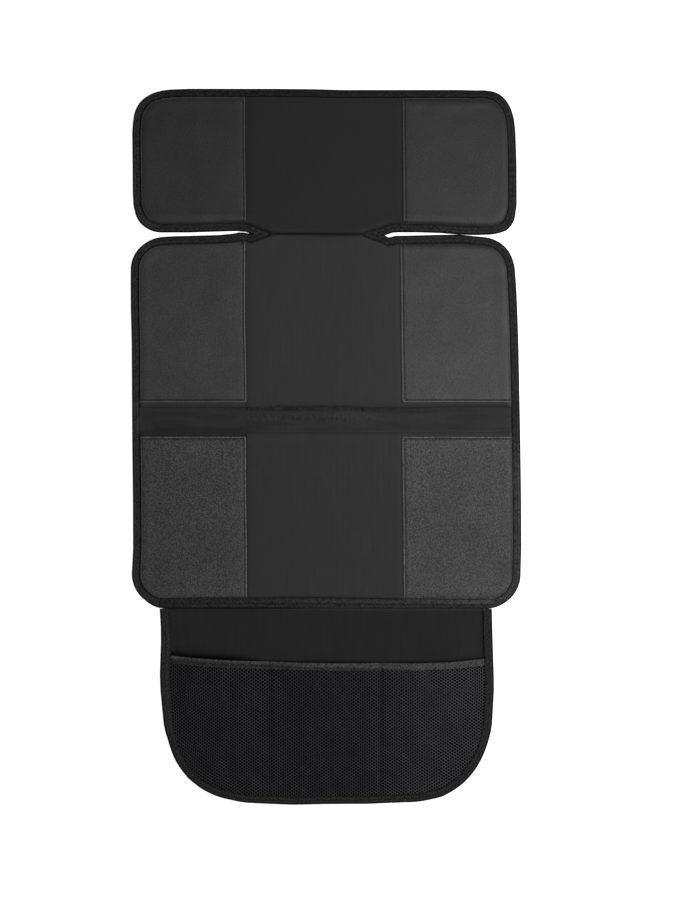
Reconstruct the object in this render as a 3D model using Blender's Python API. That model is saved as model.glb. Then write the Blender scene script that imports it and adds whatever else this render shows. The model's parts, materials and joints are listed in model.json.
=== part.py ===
"""Car seat protector mat, lying flat with its face up.

Two padded sections, a head flap and a seat section, are sewn together across a
narrow neck. An unpadded front flap with a divided net pocket hangs from the
seat section's front edge. Every raw edge is wrapped in a folded tape.

Metres, +Z up. The origin is on the surface that the mat lies on, at the centre
of its length and width. +Y points to the head flap.
"""

import math

import bmesh
import bpy
from mathutils import Vector
from mathutils.geometry import delaunay_2d_cdt

# The sewn outline, seen from above.
HEAD_WIDTH = 0.467
HEAD_LENGTH = 0.176
HEAD_REAR_RADIUS = 0.040
HEAD_SLIT_RADIUS = 0.036
SEAT_WIDTH = 0.472
SEAT_LENGTH = 0.456
SEAT_REAR_RADIUS = 0.040
SEAT_FRONT_RADIUS = 0.043
FLAP_WIDTH = 0.405
FLAP_LENGTH = 0.240
FLAP_RADIUS = 0.115

# The neck joins head flap and seat section. Beside it, a slit parts them on each side.
NECK_WIDTH = 0.154
SLIT_WIDTH = 0.005
NECK_ANGLE = math.radians(22)

# The fold line of the seat section: an unpadded band between two rows of stitches.
REAR_PANEL_LENGTH = 0.205
FOLD_WIDTH = 0.0415
FOLD_STITCH_MARGIN = 0.0065

# The face: a bare cloth column down the middle, leather patches beside it.
CENTRE_WIDTH = 0.193

# Layers.
BACKING = 0.0008
FOAM = 0.0075
CLOTH = 0.0008
LEATHER = 0.0010
NET = 0.0006
TAPE = 0.0009
HEM_TAPE = 0.0005
GAP = 0.0003

# How the layers meet at the edges.
BINDING_WIDTH = 0.010
CROWN = 0.018
FOAM_MARGIN = 0.003
FRONT_LIFT_RUN = 0.060

# The pocket on the front flap.
HEM_DEPTH = 0.058
HEM_SAG = 0.010
HEM_WIDTH = 0.009
DIVIDER_SPACING = 0.1355
POCKET_BULGE = 0.008
NET_COLUMNS = 6
NET_ROWS = 6
NET_HOLE_SHARE = 0.36

ARC_STEP = math.radians(15)
FLAP_ARC_STEP = math.radians(7.5)

# Places that follow from the sizes.
Y_REAR = (HEAD_LENGTH + SEAT_LENGTH + FLAP_LENGTH) / 2
Y_CREASE = Y_REAR - HEAD_LENGTH
Y_FRONT = Y_CREASE - SEAT_LENGTH
Y_END = Y_FRONT - FLAP_LENGTH
Y_REAR_PANEL_END = Y_CREASE - REAR_PANEL_LENGTH
Y_FRONT_PANEL_END = Y_REAR_PANEL_END - FOLD_WIDTH
Y_FOLD_REAR = Y_REAR_PANEL_END - FOLD_STITCH_MARGIN
Y_FOLD_FRONT = Y_FRONT_PANEL_END + FOLD_STITCH_MARGIN

# Layers under a binding lie this far in from its outer edge.
EDGE_INSET = TAPE + 2 * GAP
# Layers beside a binding start this far in from its outer edge.
CLEAR_INSET = BINDING_WIDTH + GAP
# The cloth's top, above the backing's lower face, where there is no foam.
SEWN_TOP = BACKING + GAP + CLOTH
MAT_BINDING_HEIGHT = TAPE + GAP + SEWN_TOP + GAP + LEATHER + GAP + TAPE

# The flap's cloth, net and binding, from the floor up.
FLAP_CLOTH_Z = TAPE + GAP
FLAP_CLOTH_TOP = FLAP_CLOTH_Z + CLOTH
NET_Z = FLAP_CLOTH_TOP + GAP + HEM_TAPE + GAP
FLAP_BINDING_HEIGHT = NET_Z + NET + GAP + TAPE
FRONT_LIFT = FLAP_CLOTH_TOP + GAP

CONTOUR_DEPTHS = (0.0, FOAM_MARGIN, 0.43 * CROWN, CROWN)


def smooth(share):
    share = min(max(share, 0.0), 1.0)
    return share * share * (3 - 2 * share)


def arc(centre_x, centre_y, radius, start, end, step=ARC_STEP):
    """Points along an arc, its angles in degrees, both ends included."""
    count = max(2, round(abs(math.radians(end - start)) / step))
    angles = [math.radians(start + (end - start) * i / count) for i in range(count + 1)]
    return [(centre_x + radius * math.cos(a), centre_y + radius * math.sin(a)) for a in angles]


def both_sides(right_half):
    """A path from its right half, which ends or starts at the middle line."""
    return right_half + [(-x, y) for x, y in reversed(right_half)]


def neck_run(side):
    """The stretch where a slit's edge turns towards the crease and runs into the seam."""
    half_slit = SLIT_WIDTH / 2
    turn_x = NECK_WIDTH / 2 + half_slit / math.tan(NECK_ANGLE)
    inner_x = NECK_WIDTH / 2 - (BINDING_WIDTH + CROWN) / math.sin(NECK_ANGLE)
    drop = (turn_x - inner_x) * math.tan(NECK_ANGLE)
    return [(inner_x, Y_CREASE + side * (half_slit - drop)), (turn_x, Y_CREASE + side * half_slit)]


def head_path():
    """The head flap's bound edge, from one side of the neck to the other."""
    half = HEAD_WIDTH / 2
    slit = HEAD_SLIT_RADIUS
    rear = HEAD_REAR_RADIUS
    right = neck_run(1)
    right += arc(half - slit, Y_CREASE + SLIT_WIDTH / 2 + slit, slit, -90, 0)
    right += arc(half - rear, Y_REAR - rear, rear, 0, 90)
    return both_sides(right)


def seat_path():
    """The seat section's bound edge, from one side of the neck to the other."""
    half = SEAT_WIDTH / 2
    rear = SEAT_REAR_RADIUS
    front = SEAT_FRONT_RADIUS
    right = neck_run(-1)
    right += arc(half - rear, Y_CREASE - SLIT_WIDTH / 2 - rear, rear, 90, 0)
    right += [(half, Y_FRONT + y) for y in (FRONT_LIFT_RUN, (FRONT_LIFT_RUN + front) / 2)]
    right += arc(half - front, Y_FRONT + front, front, 0, -90)
    return both_sides(right)


def flap_path():
    """The front flap's bound edge, from the seat's front edge round the end and back."""
    half = FLAP_WIDTH / 2
    right = [(half, Y_FRONT - GAP)]
    right += arc(half - FLAP_RADIUS, Y_END + FLAP_RADIUS, FLAP_RADIUS, 0, -90, FLAP_ARC_STEP)
    return both_sides(right)


def inward_normals(path, inside):
    """At each point of an open path, the mitred step that moves its edge in by one unit."""
    points = [Vector(p) for p in path]
    edges = [(b - a).normalized() for a, b in zip(points, points[1:])]
    turned = [Vector((-e.y, e.x)) for e in edges]
    if sum((Vector(inside) - p).dot(n) for p, n in zip(points, turned)) < 0:
        turned = [-n for n in turned]
    joined = [turned[0]] + [(a + b).normalized() for a, b in zip(turned, turned[1:])] + [turned[-1]]
    reach = [turned[0]] + turned
    return [n / max(n.dot(r), 0.3) for n, r in zip(joined, reach)]


def offset(path, inset, inside):
    normals = inward_normals(path, inside)
    return [(x + n.x * inset, y + n.y * inset) for (x, y), n in zip(path, normals)]


def clip(points, axis, limit, keep_above):
    """The part of a polygon on one side of a line across X (axis 0) or Y (axis 1)."""
    sign = 1 if keep_above else -1
    kept = []
    for a, b in zip(points, points[1:] + points[:1]):
        depth_a = (a[axis] - limit) * sign
        depth_b = (b[axis] - limit) * sign
        if depth_a >= 0:
            kept.append(a)
        if depth_a * depth_b < 0:
            share = depth_a / (depth_a - depth_b)
            kept.append(tuple(p + (q - p) * share for p, q in zip(a, b)))
    return kept


def distance_to(path, x, y):
    """How far a point lies from an open path, measured square to it also at mitred corners."""
    spans = []
    for start, end in zip(path, path[1:]):
        run = Vector(end) - Vector(start)
        step = Vector((x, y)) - Vector(start)
        spans.append((step.dot(run) / run.length_squared, abs(step.cross(run)) / run.length))
    beside = [reach for share, reach in spans if 0 <= share <= 1]
    corners = [max(a[1], b[1]) for a, b in zip(spans, spans[1:]) if a[0] > 1 and b[0] < 0]
    return min(beside + corners)


class Section:
    """A padded section: where its edge is, and how high its layers lie at any point."""

    def __init__(self, path, centre, crease_side, lift_front):
        self.path = path
        self.centre = centre
        self.crease_side = crease_side
        self.lift_front = lift_front
        self.crease = Y_CREASE + crease_side * GAP / 2

    def outline(self, inset, seam_inset=0.0):
        """The section's closed outline, that far in from its bound edge and from the neck's seam."""
        closed = offset(self.path, inset, self.centre)
        limit = self.crease + self.crease_side * seam_inset
        return clip(closed, 1, limit, self.crease_side > 0)

    def lift(self, y):
        """The front edge lies on the flap's cloth, so the section rises to it."""
        if not self.lift_front:
            return 0.0
        run = FRONT_LIFT_RUN - CLEAR_INSET
        return FRONT_LIFT * smooth((Y_FRONT + FRONT_LIFT_RUN - y) / run)

    def floor(self, x, y):
        """The backing's lower face, which rises over the binding's lower leg."""
        run_in = distance_to(self.path, x, y) - CLEAR_INSET
        rise = (TAPE + GAP) * (1 - smooth(run_in / CROWN))
        return rise + self.lift(y)

    def depth(self, x, y):
        """How far a point lies inside the stitches that hold a foam pad in place."""
        depth = distance_to(self.path, x, y) - CLEAR_INSET
        depth = min(depth, (y - self.crease) * self.crease_side)
        if self.lift_front:
            depth = min(depth, max(y - Y_FOLD_REAR, Y_FOLD_FRONT - y))
        return max(depth, 0.0)

    def padding(self, x, y):
        """What the foam adds to the cloth's height: a quarter ellipse up from the stitches."""
        share = min(self.depth(x, y) / CROWN, 1.0)
        return (FOAM + GAP) * math.sqrt(1 - (1 - share) ** 2)

    def cloth_top(self, x, y):
        return self.floor(x, y) + SEWN_TOP + self.padding(x, y)

    def neck_ridge(self, depth):
        """Where the neck binding's line of this depth meets the seam's line of the same depth."""
        inset = CLEAR_INSET + depth
        rise = GAP / 2 + depth
        along = (rise - inset * math.cos(NECK_ANGLE)) / math.sin(NECK_ANGLE)
        x = NECK_WIDTH / 2 - inset * math.sin(NECK_ANGLE) + along * math.cos(NECK_ANGLE)
        return (x, self.crease + self.crease_side * depth)

    def edge_contours(self):
        """Lines along the bound edge, where the backing bends."""
        half = SEAT_WIDTH / 2 - CLEAR_INSET
        lines = [offset(self.path, CLEAR_INSET + depth, self.centre) for depth in CONTOUR_DEPTHS]
        if self.lift_front:
            levels = (FRONT_LIFT_RUN, (FRONT_LIFT_RUN + SEAT_FRONT_RADIUS) / 2)
            lines += [[(-half, Y_FRONT + y), (half, Y_FRONT + y)] for y in levels]
        return lines

    def contours(self):
        """Lines of equal depth and the ridges where they turn, where the padded layers bend."""
        lines = self.edge_contours()
        for depth in CONTOUR_DEPTHS[1:]:
            x, y = self.neck_ridge(depth)
            lines.append([(-x, y), (0.0, y), (x, y)])
        x, y = self.neck_ridge(0.0)
        top_x, top_y = self.neck_ridge(CROWN)
        lines += [[(x, y), (top_x, top_y)], [(-x, y), (-top_x, top_y)]]
        if not self.lift_front:
            return lines
        half = SEAT_WIDTH / 2 - CLEAR_INSET
        for stitches, way in ((Y_FOLD_REAR, 1), (Y_FOLD_FRONT, -1)):
            for depth in CONTOUR_DEPTHS + (FOLD_STITCH_MARGIN,):
                y = stitches + way * depth
                lines.append([(-half, y), (0.0, y), (half, y)])
            for side in (-half, half):
                inner = side - math.copysign(CROWN, side)
                lines.append([(side, stitches), (inner, stitches + way * CROWN)])
        return lines


def material(name, colour, roughness):
    made = bpy.data.materials.new(name)
    made.use_nodes = True
    shader = made.node_tree.nodes["Principled BSDF"]
    shader.inputs["Base Color"].default_value = (*colour, 1.0)
    shader.inputs["Roughness"].default_value = roughness
    shader.inputs["Metallic"].default_value = 0.0
    return made


def place(bm, name, finish):
    """Makes an object of a bmesh."""
    bmesh.ops.recalc_face_normals(bm, faces=bm.faces)
    mesh = bpy.data.meshes.new(name)
    bm.to_mesh(mesh)
    bm.free()
    mesh.materials.append(finish)
    mesh.shade_smooth()
    mesh.set_sharp_from_angle(angle=math.radians(40))
    made = bpy.data.objects.new(name, mesh)
    bpy.context.scene.collection.objects.link(made)
    return made


def tidied(points):
    """A polygon without points that fall on their neighbour, its points in anticlockwise order."""
    kept = []
    for p in points:
        if not kept or math.dist(p, kept[-1]) > GAP:
            kept.append(p)
    if math.dist(kept[0], kept[-1]) <= GAP:
        kept.pop()
    turn = sum(a[0] * b[1] - a[1] * b[0] for a, b in zip(kept, kept[1:] + kept[:1]))
    return kept if turn > 0 else kept[::-1]


def layer(name, finish, outline, contours, top, bottom):
    """A sheet of cloth, foam or leather: an outline filled with triangles that follow the contours."""
    outline = tidied(outline)
    points = list(outline)
    edges = []
    for line in contours:
        edges += [(len(points) + i, len(points) + i + 1) for i in range(len(line) - 1)]
        points += line
    rim = list(range(len(outline)))
    flat, _, faces, _, _, origins = delaunay_2d_cdt(
        [Vector(p) for p in points], edges, [rim], 0, 1e-6, True
    )
    inside = [face for face, origin in zip(faces, origins) if origin]
    bm = bmesh.new()
    used = sorted({i for face in inside for i in face})
    upper = {i: bm.verts.new((*flat[i], top(*flat[i]))) for i in used}
    lower = {i: bm.verts.new((*flat[i], bottom(*flat[i]))) for i in used}
    sides = {}
    for face in inside:
        bm.faces.new([upper[i] for i in face])
        bm.faces.new([lower[i] for i in reversed(face)])
        for a, b in zip(face, face[1:] + face[:1]):
            sides[(a, b)] = sides.get((a, b), 0) + 1
    for a, b in [pair for pair in sides if (pair[1], pair[0]) not in sides]:
        bm.faces.new((upper[b], upper[a], lower[a], lower[b]))
    return place(bm, name, finish)


def backing_layer(section, name, finish):
    return layer(
        name,
        finish,
        section.outline(EDGE_INSET),
        section.edge_contours(),
        lambda x, y: section.floor(x, y) + BACKING,
        section.floor,
    )


def cloth_layer(section, name, finish):
    return layer(
        name,
        finish,
        section.outline(EDGE_INSET),
        section.contours(),
        section.cloth_top,
        lambda x, y: section.cloth_top(x, y) - CLOTH,
    )


def foam_layer(section, name, finish, y_from=None, y_to=None):
    """A foam pad under the cloth, held inside the stitches."""
    outline = section.outline(CLEAR_INSET + FOAM_MARGIN, FOAM_MARGIN)
    if y_from is not None:
        outline = clip(outline, 1, y_from + FOAM_MARGIN, True)
    if y_to is not None:
        outline = clip(outline, 1, y_to - FOAM_MARGIN, False)
    return layer(
        name,
        finish,
        outline,
        section.contours(),
        lambda x, y: section.cloth_top(x, y) - CLOTH - GAP,
        lambda x, y: section.floor(x, y) + BACKING + GAP,
    )


def leather_patch(section, name, finish, side, y_from=None, y_to=None):
    """A leather patch over the cloth, from the centre column to under the binding."""
    outline = clip(section.outline(EDGE_INSET), 0, side * CENTRE_WIDTH / 2, side > 0)
    if y_from is not None:
        outline = clip(outline, 1, y_from, True)
    if y_to is not None:
        outline = clip(outline, 1, y_to, False)
    return layer(
        name,
        finish,
        outline,
        section.contours(),
        lambda x, y: section.cloth_top(x, y) + GAP + LEATHER,
        lambda x, y: section.cloth_top(x, y) + GAP,
    )


def tape_section(width, height, tape):
    """A folded tape's C, as steps in from its nose and up from its foot."""
    nose = 1.8 * tape
    round_off = 0.5 * tape
    return [
        (width, height),
        (nose, height),
        (round_off, height - tape),
        (0.0, height / 2),
        (round_off, tape),
        (nose, 0.0),
        (width, 0.0),
        (width, tape),
        (nose - round_off, tape),
        (nose - round_off, height - tape),
        (width, height - tape),
    ]


def swept_tape(path, inside, height, foot):
    """A folded tape along a bound edge, its C closed at both ends."""
    normals = inward_normals(path, inside)
    bm = bmesh.new()
    rings = []
    for (x, y), n in zip(path, normals):
        section = tape_section(BINDING_WIDTH, height, TAPE)
        ring = [bm.verts.new((x + n.x * s, y + n.y * s, z + foot(y + n.y * s))) for s, z in section]
        rings.append(ring)
    for ring, following in zip(rings, rings[1:]):
        bridge(bm, ring, following)
    bm.faces.new(rings[0])
    bm.faces.new(list(reversed(rings[-1])))
    return bm


def bridge(bm, ring, following):
    count = len(ring)
    for i in range(count):
        j = (i + 1) % count
        bm.faces.new((ring[i], following[i], following[j], ring[j]))


def cut_at_crease(bm, section):
    """Takes away what lies past the neck's seam and closes the cut."""
    geometry = bm.verts[:] + bm.edges[:] + bm.faces[:]
    cut = bmesh.ops.bisect_plane(
        bm,
        geom=geometry,
        plane_co=(0, section.crease, 0),
        plane_no=(0, -section.crease_side, 0),
        clear_outer=True,
    )
    edges = [e for e in cut["geom_cut"] if isinstance(e, bmesh.types.BMEdge)]
    bmesh.ops.holes_fill(bm, edges=edges, sides=0)


def mat_binding(section, name, finish):
    bm = swept_tape(section.path, section.centre, MAT_BINDING_HEIGHT, section.lift)
    cut_at_crease(bm, section)
    return place(bm, name, finish)


def flap_binding(finish):
    bm = swept_tape(flap_path(), (0, Y_FRONT), FLAP_BINDING_HEIGHT, lambda y: 0.0)
    return place(bm, "flap_binding", finish)


def flap_cloth(finish):
    """The flap's single layer, with a tab that is sewn under the seat section's front edge."""
    inner = offset(flap_path(), EDGE_INSET, (0, Y_FRONT))
    tab = FLAP_WIDTH / 2 - CLEAR_INSET - CLOTH
    y_tab = Y_FRONT + BINDING_WIDTH
    y_side = inner[0][1]
    outline = inner + [(-tab, y_side), (-tab, y_tab), (tab, y_tab), (tab, y_side)]
    return layer(
        "flap_cloth",
        finish,
        outline,
        [],
        lambda x, y: FLAP_CLOTH_TOP,
        lambda x, y: FLAP_CLOTH_Z,
    )


def pocket_columns():
    """X places of the net's columns, each with how far it stands out there, from 0 to 1."""
    divider = DIVIDER_SPACING / 2
    side = FLAP_WIDTH / 2 - CLEAR_INSET
    columns = []
    for start, end in ((-side, -divider), (-divider, divider), (divider, side)):
        for i in range(NET_COLUMNS):
            share = i / NET_COLUMNS
            columns.append((start + (end - start) * share, math.sin(math.pi * share)))
    columns.append((side, 0.0))
    return columns


def hem_line(x):
    """The net's upper edge sags towards the middle."""
    return Y_FRONT - HEM_DEPTH - HEM_SAG * (1 - (x / (FLAP_WIDTH / 2)) ** 2)


def flap_end(x, inset):
    """The flap's lower edge at x, that far in from the outside."""
    past = abs(x) - (FLAP_WIDTH / 2 - FLAP_RADIUS)
    radius = FLAP_RADIUS - inset
    pull = radius - math.sqrt(max(radius**2 - max(past, 0.0) ** 2, 0.0))
    return Y_END + inset + pull


def net_rows(x):
    """Y places of the net's rows in one column, and how far the net stands out in each, from 0 to 1."""
    under = flap_end(x, EDGE_INSET)
    low = flap_end(x, CLEAR_INSET)
    high = hem_line(x) - HEM_WIDTH - GAP
    rows = [(under, 0.0)]
    for i in range(NET_ROWS + 1):
        share = i / NET_ROWS
        rows.append((low + (high - low) * share, math.sin(math.pi / 2 * share)))
    rows.append((hem_line(x) - HEM_TAPE - 2 * GAP, 1.0))
    return rows


def net_pocket(finish):
    """One net, bulged between its sewn lines, with a diamond gap in each cell."""
    side = FLAP_WIDTH / 2 - EDGE_INSET
    columns = [(-side, 0.0)] + pocket_columns() + [(side, 0.0)]
    bm = bmesh.new()
    grid = []
    for x, bulge in columns:
        rise = [(x, y, NET_Z + POCKET_BULGE * bulge * share) for y, share in net_rows(x)]
        grid.append([(bm.verts.new(p), bm.verts.new((p[0], p[1], p[2] + NET))) for p in rise])
    last_column = len(columns) - 2
    last_row = len(grid[0]) - 2
    for i in range(last_column + 1):
        for j in range(last_row + 1):
            corners = [grid[i][j], grid[i + 1][j], grid[i + 1][j + 1], grid[i][j + 1]]
            if 0 < i < last_column and 0 < j < last_row:
                diamond_cell(bm, corners)
            else:
                bm.faces.new([c[1] for c in corners])
                bm.faces.new([c[0] for c in reversed(corners)])
    rim = [grid[i][0] for i in range(len(grid))] + grid[-1][1:]
    rim += [grid[i][-1] for i in reversed(range(len(grid) - 1))] + grid[0][-2:0:-1]
    for a, b in zip(rim, rim[1:] + rim[:1]):
        bm.faces.new((a[1], a[0], b[0], b[1]))
    return place(bm, "net_pocket", finish)


def diamond_cell(bm, corners):
    """A cell of the net with a gap whose corners point at the cell's sides."""
    holes = []
    for level in (0, 1):
        points = [c[level].co for c in corners]
        centre = sum(points, Vector()) / 4
        middles = [(a + b) / 2 for a, b in zip(points, points[1:] + points[:1])]
        holes.append([bm.verts.new(centre.lerp(m, 2 * NET_HOLE_SHARE)) for m in middles])
    for i in range(4):
        j = (i + 1) % 4
        for level, forward in ((1, True), (0, False)):
            a, b = corners[i][level], corners[j][level]
            hole, following = holes[level][i], holes[level][j]
            for face in ((a, b, hole), (b, following, hole)):
                bm.faces.new(face if forward else tuple(reversed(face)))
        bm.faces.new((holes[0][i], holes[0][j], holes[1][j], holes[1][i]))


def pocket_hem(finish):
    """A tape folded over the net's upper edge."""
    clearance = NET + 2 * GAP
    height = clearance + 2 * HEM_TAPE
    bm = bmesh.new()
    rings = []
    for x, bulge in pocket_columns():
        foot = NET_Z + POCKET_BULGE * bulge - GAP - HEM_TAPE
        section = tape_section(HEM_WIDTH, height, HEM_TAPE)
        rings.append([bm.verts.new((x, hem_line(x) - s, foot + z)) for s, z in section])
    for ring, following in zip(rings, rings[1:]):
        bridge(bm, ring, following)
    bm.faces.new(rings[0])
    bm.faces.new(list(reversed(rings[-1])))
    return place(bm, "pocket_hem", finish)


def build():
    for old in list(bpy.data.objects):
        bpy.data.objects.remove(old, do_unlink=True)

    cloth = material("face_cloth", (0.031, 0.031, 0.031), 0.85)
    leather = material("leather", (0.050, 0.050, 0.050), 0.55)
    tape = material("edge_tape", (0.014, 0.014, 0.014), 0.90)
    foam = material("foam", (0.75, 0.75, 0.75), 0.95)
    backing = material("backing", (0.020, 0.020, 0.020), 0.95)
    thin_cloth = material("flap_cloth", (0.018, 0.018, 0.018), 0.85)
    net = material("net", (0.010, 0.010, 0.012), 0.80)

    head_centre = (0.0, (Y_REAR + Y_CREASE) / 2)
    seat_centre = (0.0, (Y_CREASE + Y_FRONT) / 2)
    head = Section(head_path(), head_centre, 1, False)
    seat = Section(seat_path(), seat_centre, -1, True)

    backing_layer(head, "head_backing", backing)
    foam_layer(head, "head_foam", foam)
    cloth_layer(head, "head_cloth", cloth)
    mat_binding(head, "head_binding", tape)

    backing_layer(seat, "seat_backing", backing)
    foam_layer(seat, "rear_foam", foam, y_from=Y_FOLD_REAR)
    foam_layer(seat, "front_foam", foam, y_to=Y_FOLD_FRONT)
    cloth_layer(seat, "seat_cloth", cloth)
    mat_binding(seat, "seat_binding", tape)

    for side, word in ((-1, "left"), (1, "right")):
        leather_patch(head, f"head_leather_{word}", leather, side)
        leather_patch(seat, f"rear_leather_{word}", leather, side, y_from=Y_REAR_PANEL_END)
        leather_patch(seat, f"front_leather_{word}", leather, side, y_to=Y_FRONT_PANEL_END)

    flap_cloth(thin_cloth)
    flap_binding(tape)
    net_pocket(net)
    pocket_hem(tape)


build()
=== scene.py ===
# %% [markdown]
# # A car seat protector mat
#
# The mat is a flat sewn piece: a padded head flap and a padded seat section, joined at a crease, and
# an unpadded front flap with a net pocket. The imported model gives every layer's place and size. This
# lesson builds the visible cloth, leather, tape, net and thread in those places.

import json
import math

import bmesh
import bpy
import numpy as np
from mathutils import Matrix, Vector, noise
from mathutils.bvhtree import BVHTree
from mathutils.geometry import delaunay_2d_cdt

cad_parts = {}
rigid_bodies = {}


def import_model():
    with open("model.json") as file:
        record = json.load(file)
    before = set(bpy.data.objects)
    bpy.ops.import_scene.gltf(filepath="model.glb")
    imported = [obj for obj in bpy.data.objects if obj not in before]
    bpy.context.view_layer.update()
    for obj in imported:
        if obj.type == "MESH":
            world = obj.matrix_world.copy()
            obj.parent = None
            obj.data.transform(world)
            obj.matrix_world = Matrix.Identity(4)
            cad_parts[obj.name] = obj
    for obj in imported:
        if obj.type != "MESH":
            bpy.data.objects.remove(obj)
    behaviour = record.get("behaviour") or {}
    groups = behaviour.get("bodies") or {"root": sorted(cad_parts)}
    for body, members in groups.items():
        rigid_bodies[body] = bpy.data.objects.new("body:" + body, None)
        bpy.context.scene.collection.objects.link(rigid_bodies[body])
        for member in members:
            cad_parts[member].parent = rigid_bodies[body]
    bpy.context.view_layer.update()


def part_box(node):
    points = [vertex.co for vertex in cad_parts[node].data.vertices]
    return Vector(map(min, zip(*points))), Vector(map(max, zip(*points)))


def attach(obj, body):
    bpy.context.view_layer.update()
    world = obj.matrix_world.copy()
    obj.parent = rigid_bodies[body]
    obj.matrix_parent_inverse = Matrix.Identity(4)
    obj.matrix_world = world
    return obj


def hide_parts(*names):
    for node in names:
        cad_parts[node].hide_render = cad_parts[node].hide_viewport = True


for old in list(bpy.data.objects):
    bpy.data.objects.remove(old, do_unlink=True)
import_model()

# %% [markdown]
# ## Sizes
#
# All sizes are in metres. They could all be typed in, but then the looks would drift away from the
# model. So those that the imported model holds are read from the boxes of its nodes. The others repeat
# how its layers are stacked: how wide the tape is that wraps each edge, how round the corners are,
# and how far the padding takes to rise from a row of stitches.

# %% sizes
MM = 0.001


def node_size(name):
    low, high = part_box(name)
    return low, high, high - low


head_low, head_high, head_size = node_size("head_binding")
seat_low, seat_high, seat_size = node_size("seat_binding")
flap_low, _, flap_size = node_size("flap_binding")
GAP = 0.3 * MM
Y_REAR = head_high.y
Y_CREASE = (head_low.y + seat_high.y) / 2
Y_FRONT = seat_low.y
Y_END = flap_low.y
Y_REAR_PANEL_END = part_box("rear_leather_left")[0].y
Y_FRONT_PANEL_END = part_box("front_leather_left")[1].y
FOLD_STITCH = 6 * MM
COLUMN_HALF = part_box("head_leather_right")[0].x
MAT_EDGE = head_size.z
FLAP_EDGE = flap_size.z
HALF = {"head": head_size.x / 2, "seat": seat_size.x / 2, "flap": flap_size.x / 2}
SLIT = 5 * MM
NECK_HALF = 77 * MM
NECK_SLOPE = math.radians(22)
HEAD_SLIT_RADIUS = 36 * MM
REAR_RADIUS = 40 * MM
SEAT_FRONT_RADIUS = 43 * MM
FLAP_RADIUS = 115 * MM
TAPE_WIDTH = 10 * MM
TAPE = 0.9 * MM
BACKING_CLOTH = 0.8 * MM
FLAP_CLOTH_THICKNESS = 0.8 * MM
SEWN = 1.9 * MM
PAD = 7.8 * MM
CROWN = 16 * MM
LEATHER = 1.0 * MM
FRONT_RISE = 2.3 * MM
FRONT_RISE_RUN = 60 * MM
HEM_DEPTH = 58 * MM
HEM_SAG = 10 * MM
HEM_WIDTH = 9 * MM
print("crease at", round(Y_CREASE, 4), "front seam at", round(Y_FRONT, 4), "end at", round(Y_END, 4))

# %% [markdown]
# ## Edges as lines
#
# A sewn mat is cut from a paper pattern, so its edges start as drawn lines: straight runs and round
# corners, mirrored across the middle. Blender's curves could draw them too, but plain points are
# easier to measure against. Each line is cut into even steps, with a direction into the cloth at
# every step. Tape, seams and stitches all follow these steps at some distance inwards.


# %% edge lines
def arc(cx, cy, radius, start, end):
    """Points along a round corner, its angles in degrees."""
    angles = np.radians(np.linspace(start, end, 31))
    return [(cx + radius * math.cos(a), cy + radius * math.sin(a)) for a in angles]


def even_steps(points, spacing):
    """A line as evenly spaced points."""
    points = np.array(points)
    run = np.r_[0, np.cumsum(np.linalg.norm(np.diff(points, axis=0), axis=1))]
    at = np.linspace(0, run[-1], max(2, round(run[-1] / spacing)) + 1)
    return np.stack([np.interp(at, run, points[:, i]) for i in (0, 1)], axis=1)


def whole(right, spacing=2 * MM):
    """An edge line from its right half, mirrored across the middle."""
    return even_steps(right + [(-x, y) for x, y in reversed(right)], spacing)


def inward(line, centre):
    """The direction into the cloth at each point of a line."""
    along = np.gradient(line, axis=0)
    along /= np.linalg.norm(along, axis=1)[:, None]
    turned = np.stack([-along[:, 1], along[:, 0]], axis=1)
    return turned if ((centre - line) * turned).sum() > 0 else -turned


def neck_run(side):
    """The stretch where a slit's edge turns into the neck and runs under the crease."""
    turn = NECK_HALF + SLIT / 2 / math.tan(NECK_SLOPE)
    inner = 2 * MM
    drop = (turn - inner) * math.tan(NECK_SLOPE)
    return [(inner, Y_CREASE + side * (SLIT / 2 - drop)), (turn, Y_CREASE + side * SLIT / 2)]


def head_line():
    half, slit, rear = HALF["head"], HEAD_SLIT_RADIUS, REAR_RADIUS
    right = neck_run(1) + arc(half - slit, Y_CREASE + SLIT / 2 + slit, slit, -90, 0)
    return whole(right + arc(half - rear, Y_REAR - rear, rear, 0, 90))


def seat_line():
    half, rear, front = HALF["seat"], REAR_RADIUS, SEAT_FRONT_RADIUS
    right = neck_run(-1) + arc(half - rear, Y_CREASE - SLIT / 2 - rear, rear, 90, 0)
    return whole(right + arc(half - front, Y_FRONT + front, front, 0, -90))


def flap_line():
    half, radius = HALF["flap"], FLAP_RADIUS
    right = [(half, Y_FRONT - GAP)]
    return whole(right + arc(half - radius, Y_END + radius, radius, 0, -90))


LINES = {"head": head_line(), "seat": seat_line(), "flap": flap_line()}
CENTRES = {
    "head": np.array([0, (Y_REAR + Y_CREASE) / 2]),
    "seat": np.array([0, (Y_CREASE + Y_FRONT) / 2]),
    "flap": np.array([0, Y_FRONT]),
}
INWARD = {part: inward(line, CENTRES[part]) for part, line in LINES.items()}
print("edge steps:", {part: len(line) for part, line in LINES.items()})

# %% [markdown]
# ## How the sewn cloth lies
#
# The pattern is symmetric, but a sewn mat never lies that way. Its tape pulls each corner a few
# millimetres, and the two slits are open by different amounts. Every piece could be bent by hand,
# but then neighbours would part. Instead, the tables below say how far each edge moves at some
# places along it, in millimetres, and every point near an edge moves with it, whatever piece it
# belongs to. The slits' tips have a row each: from where to where across the mat, and how far they
# lean. Far from every edge and seam, the cloth stays where the model has it.

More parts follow.
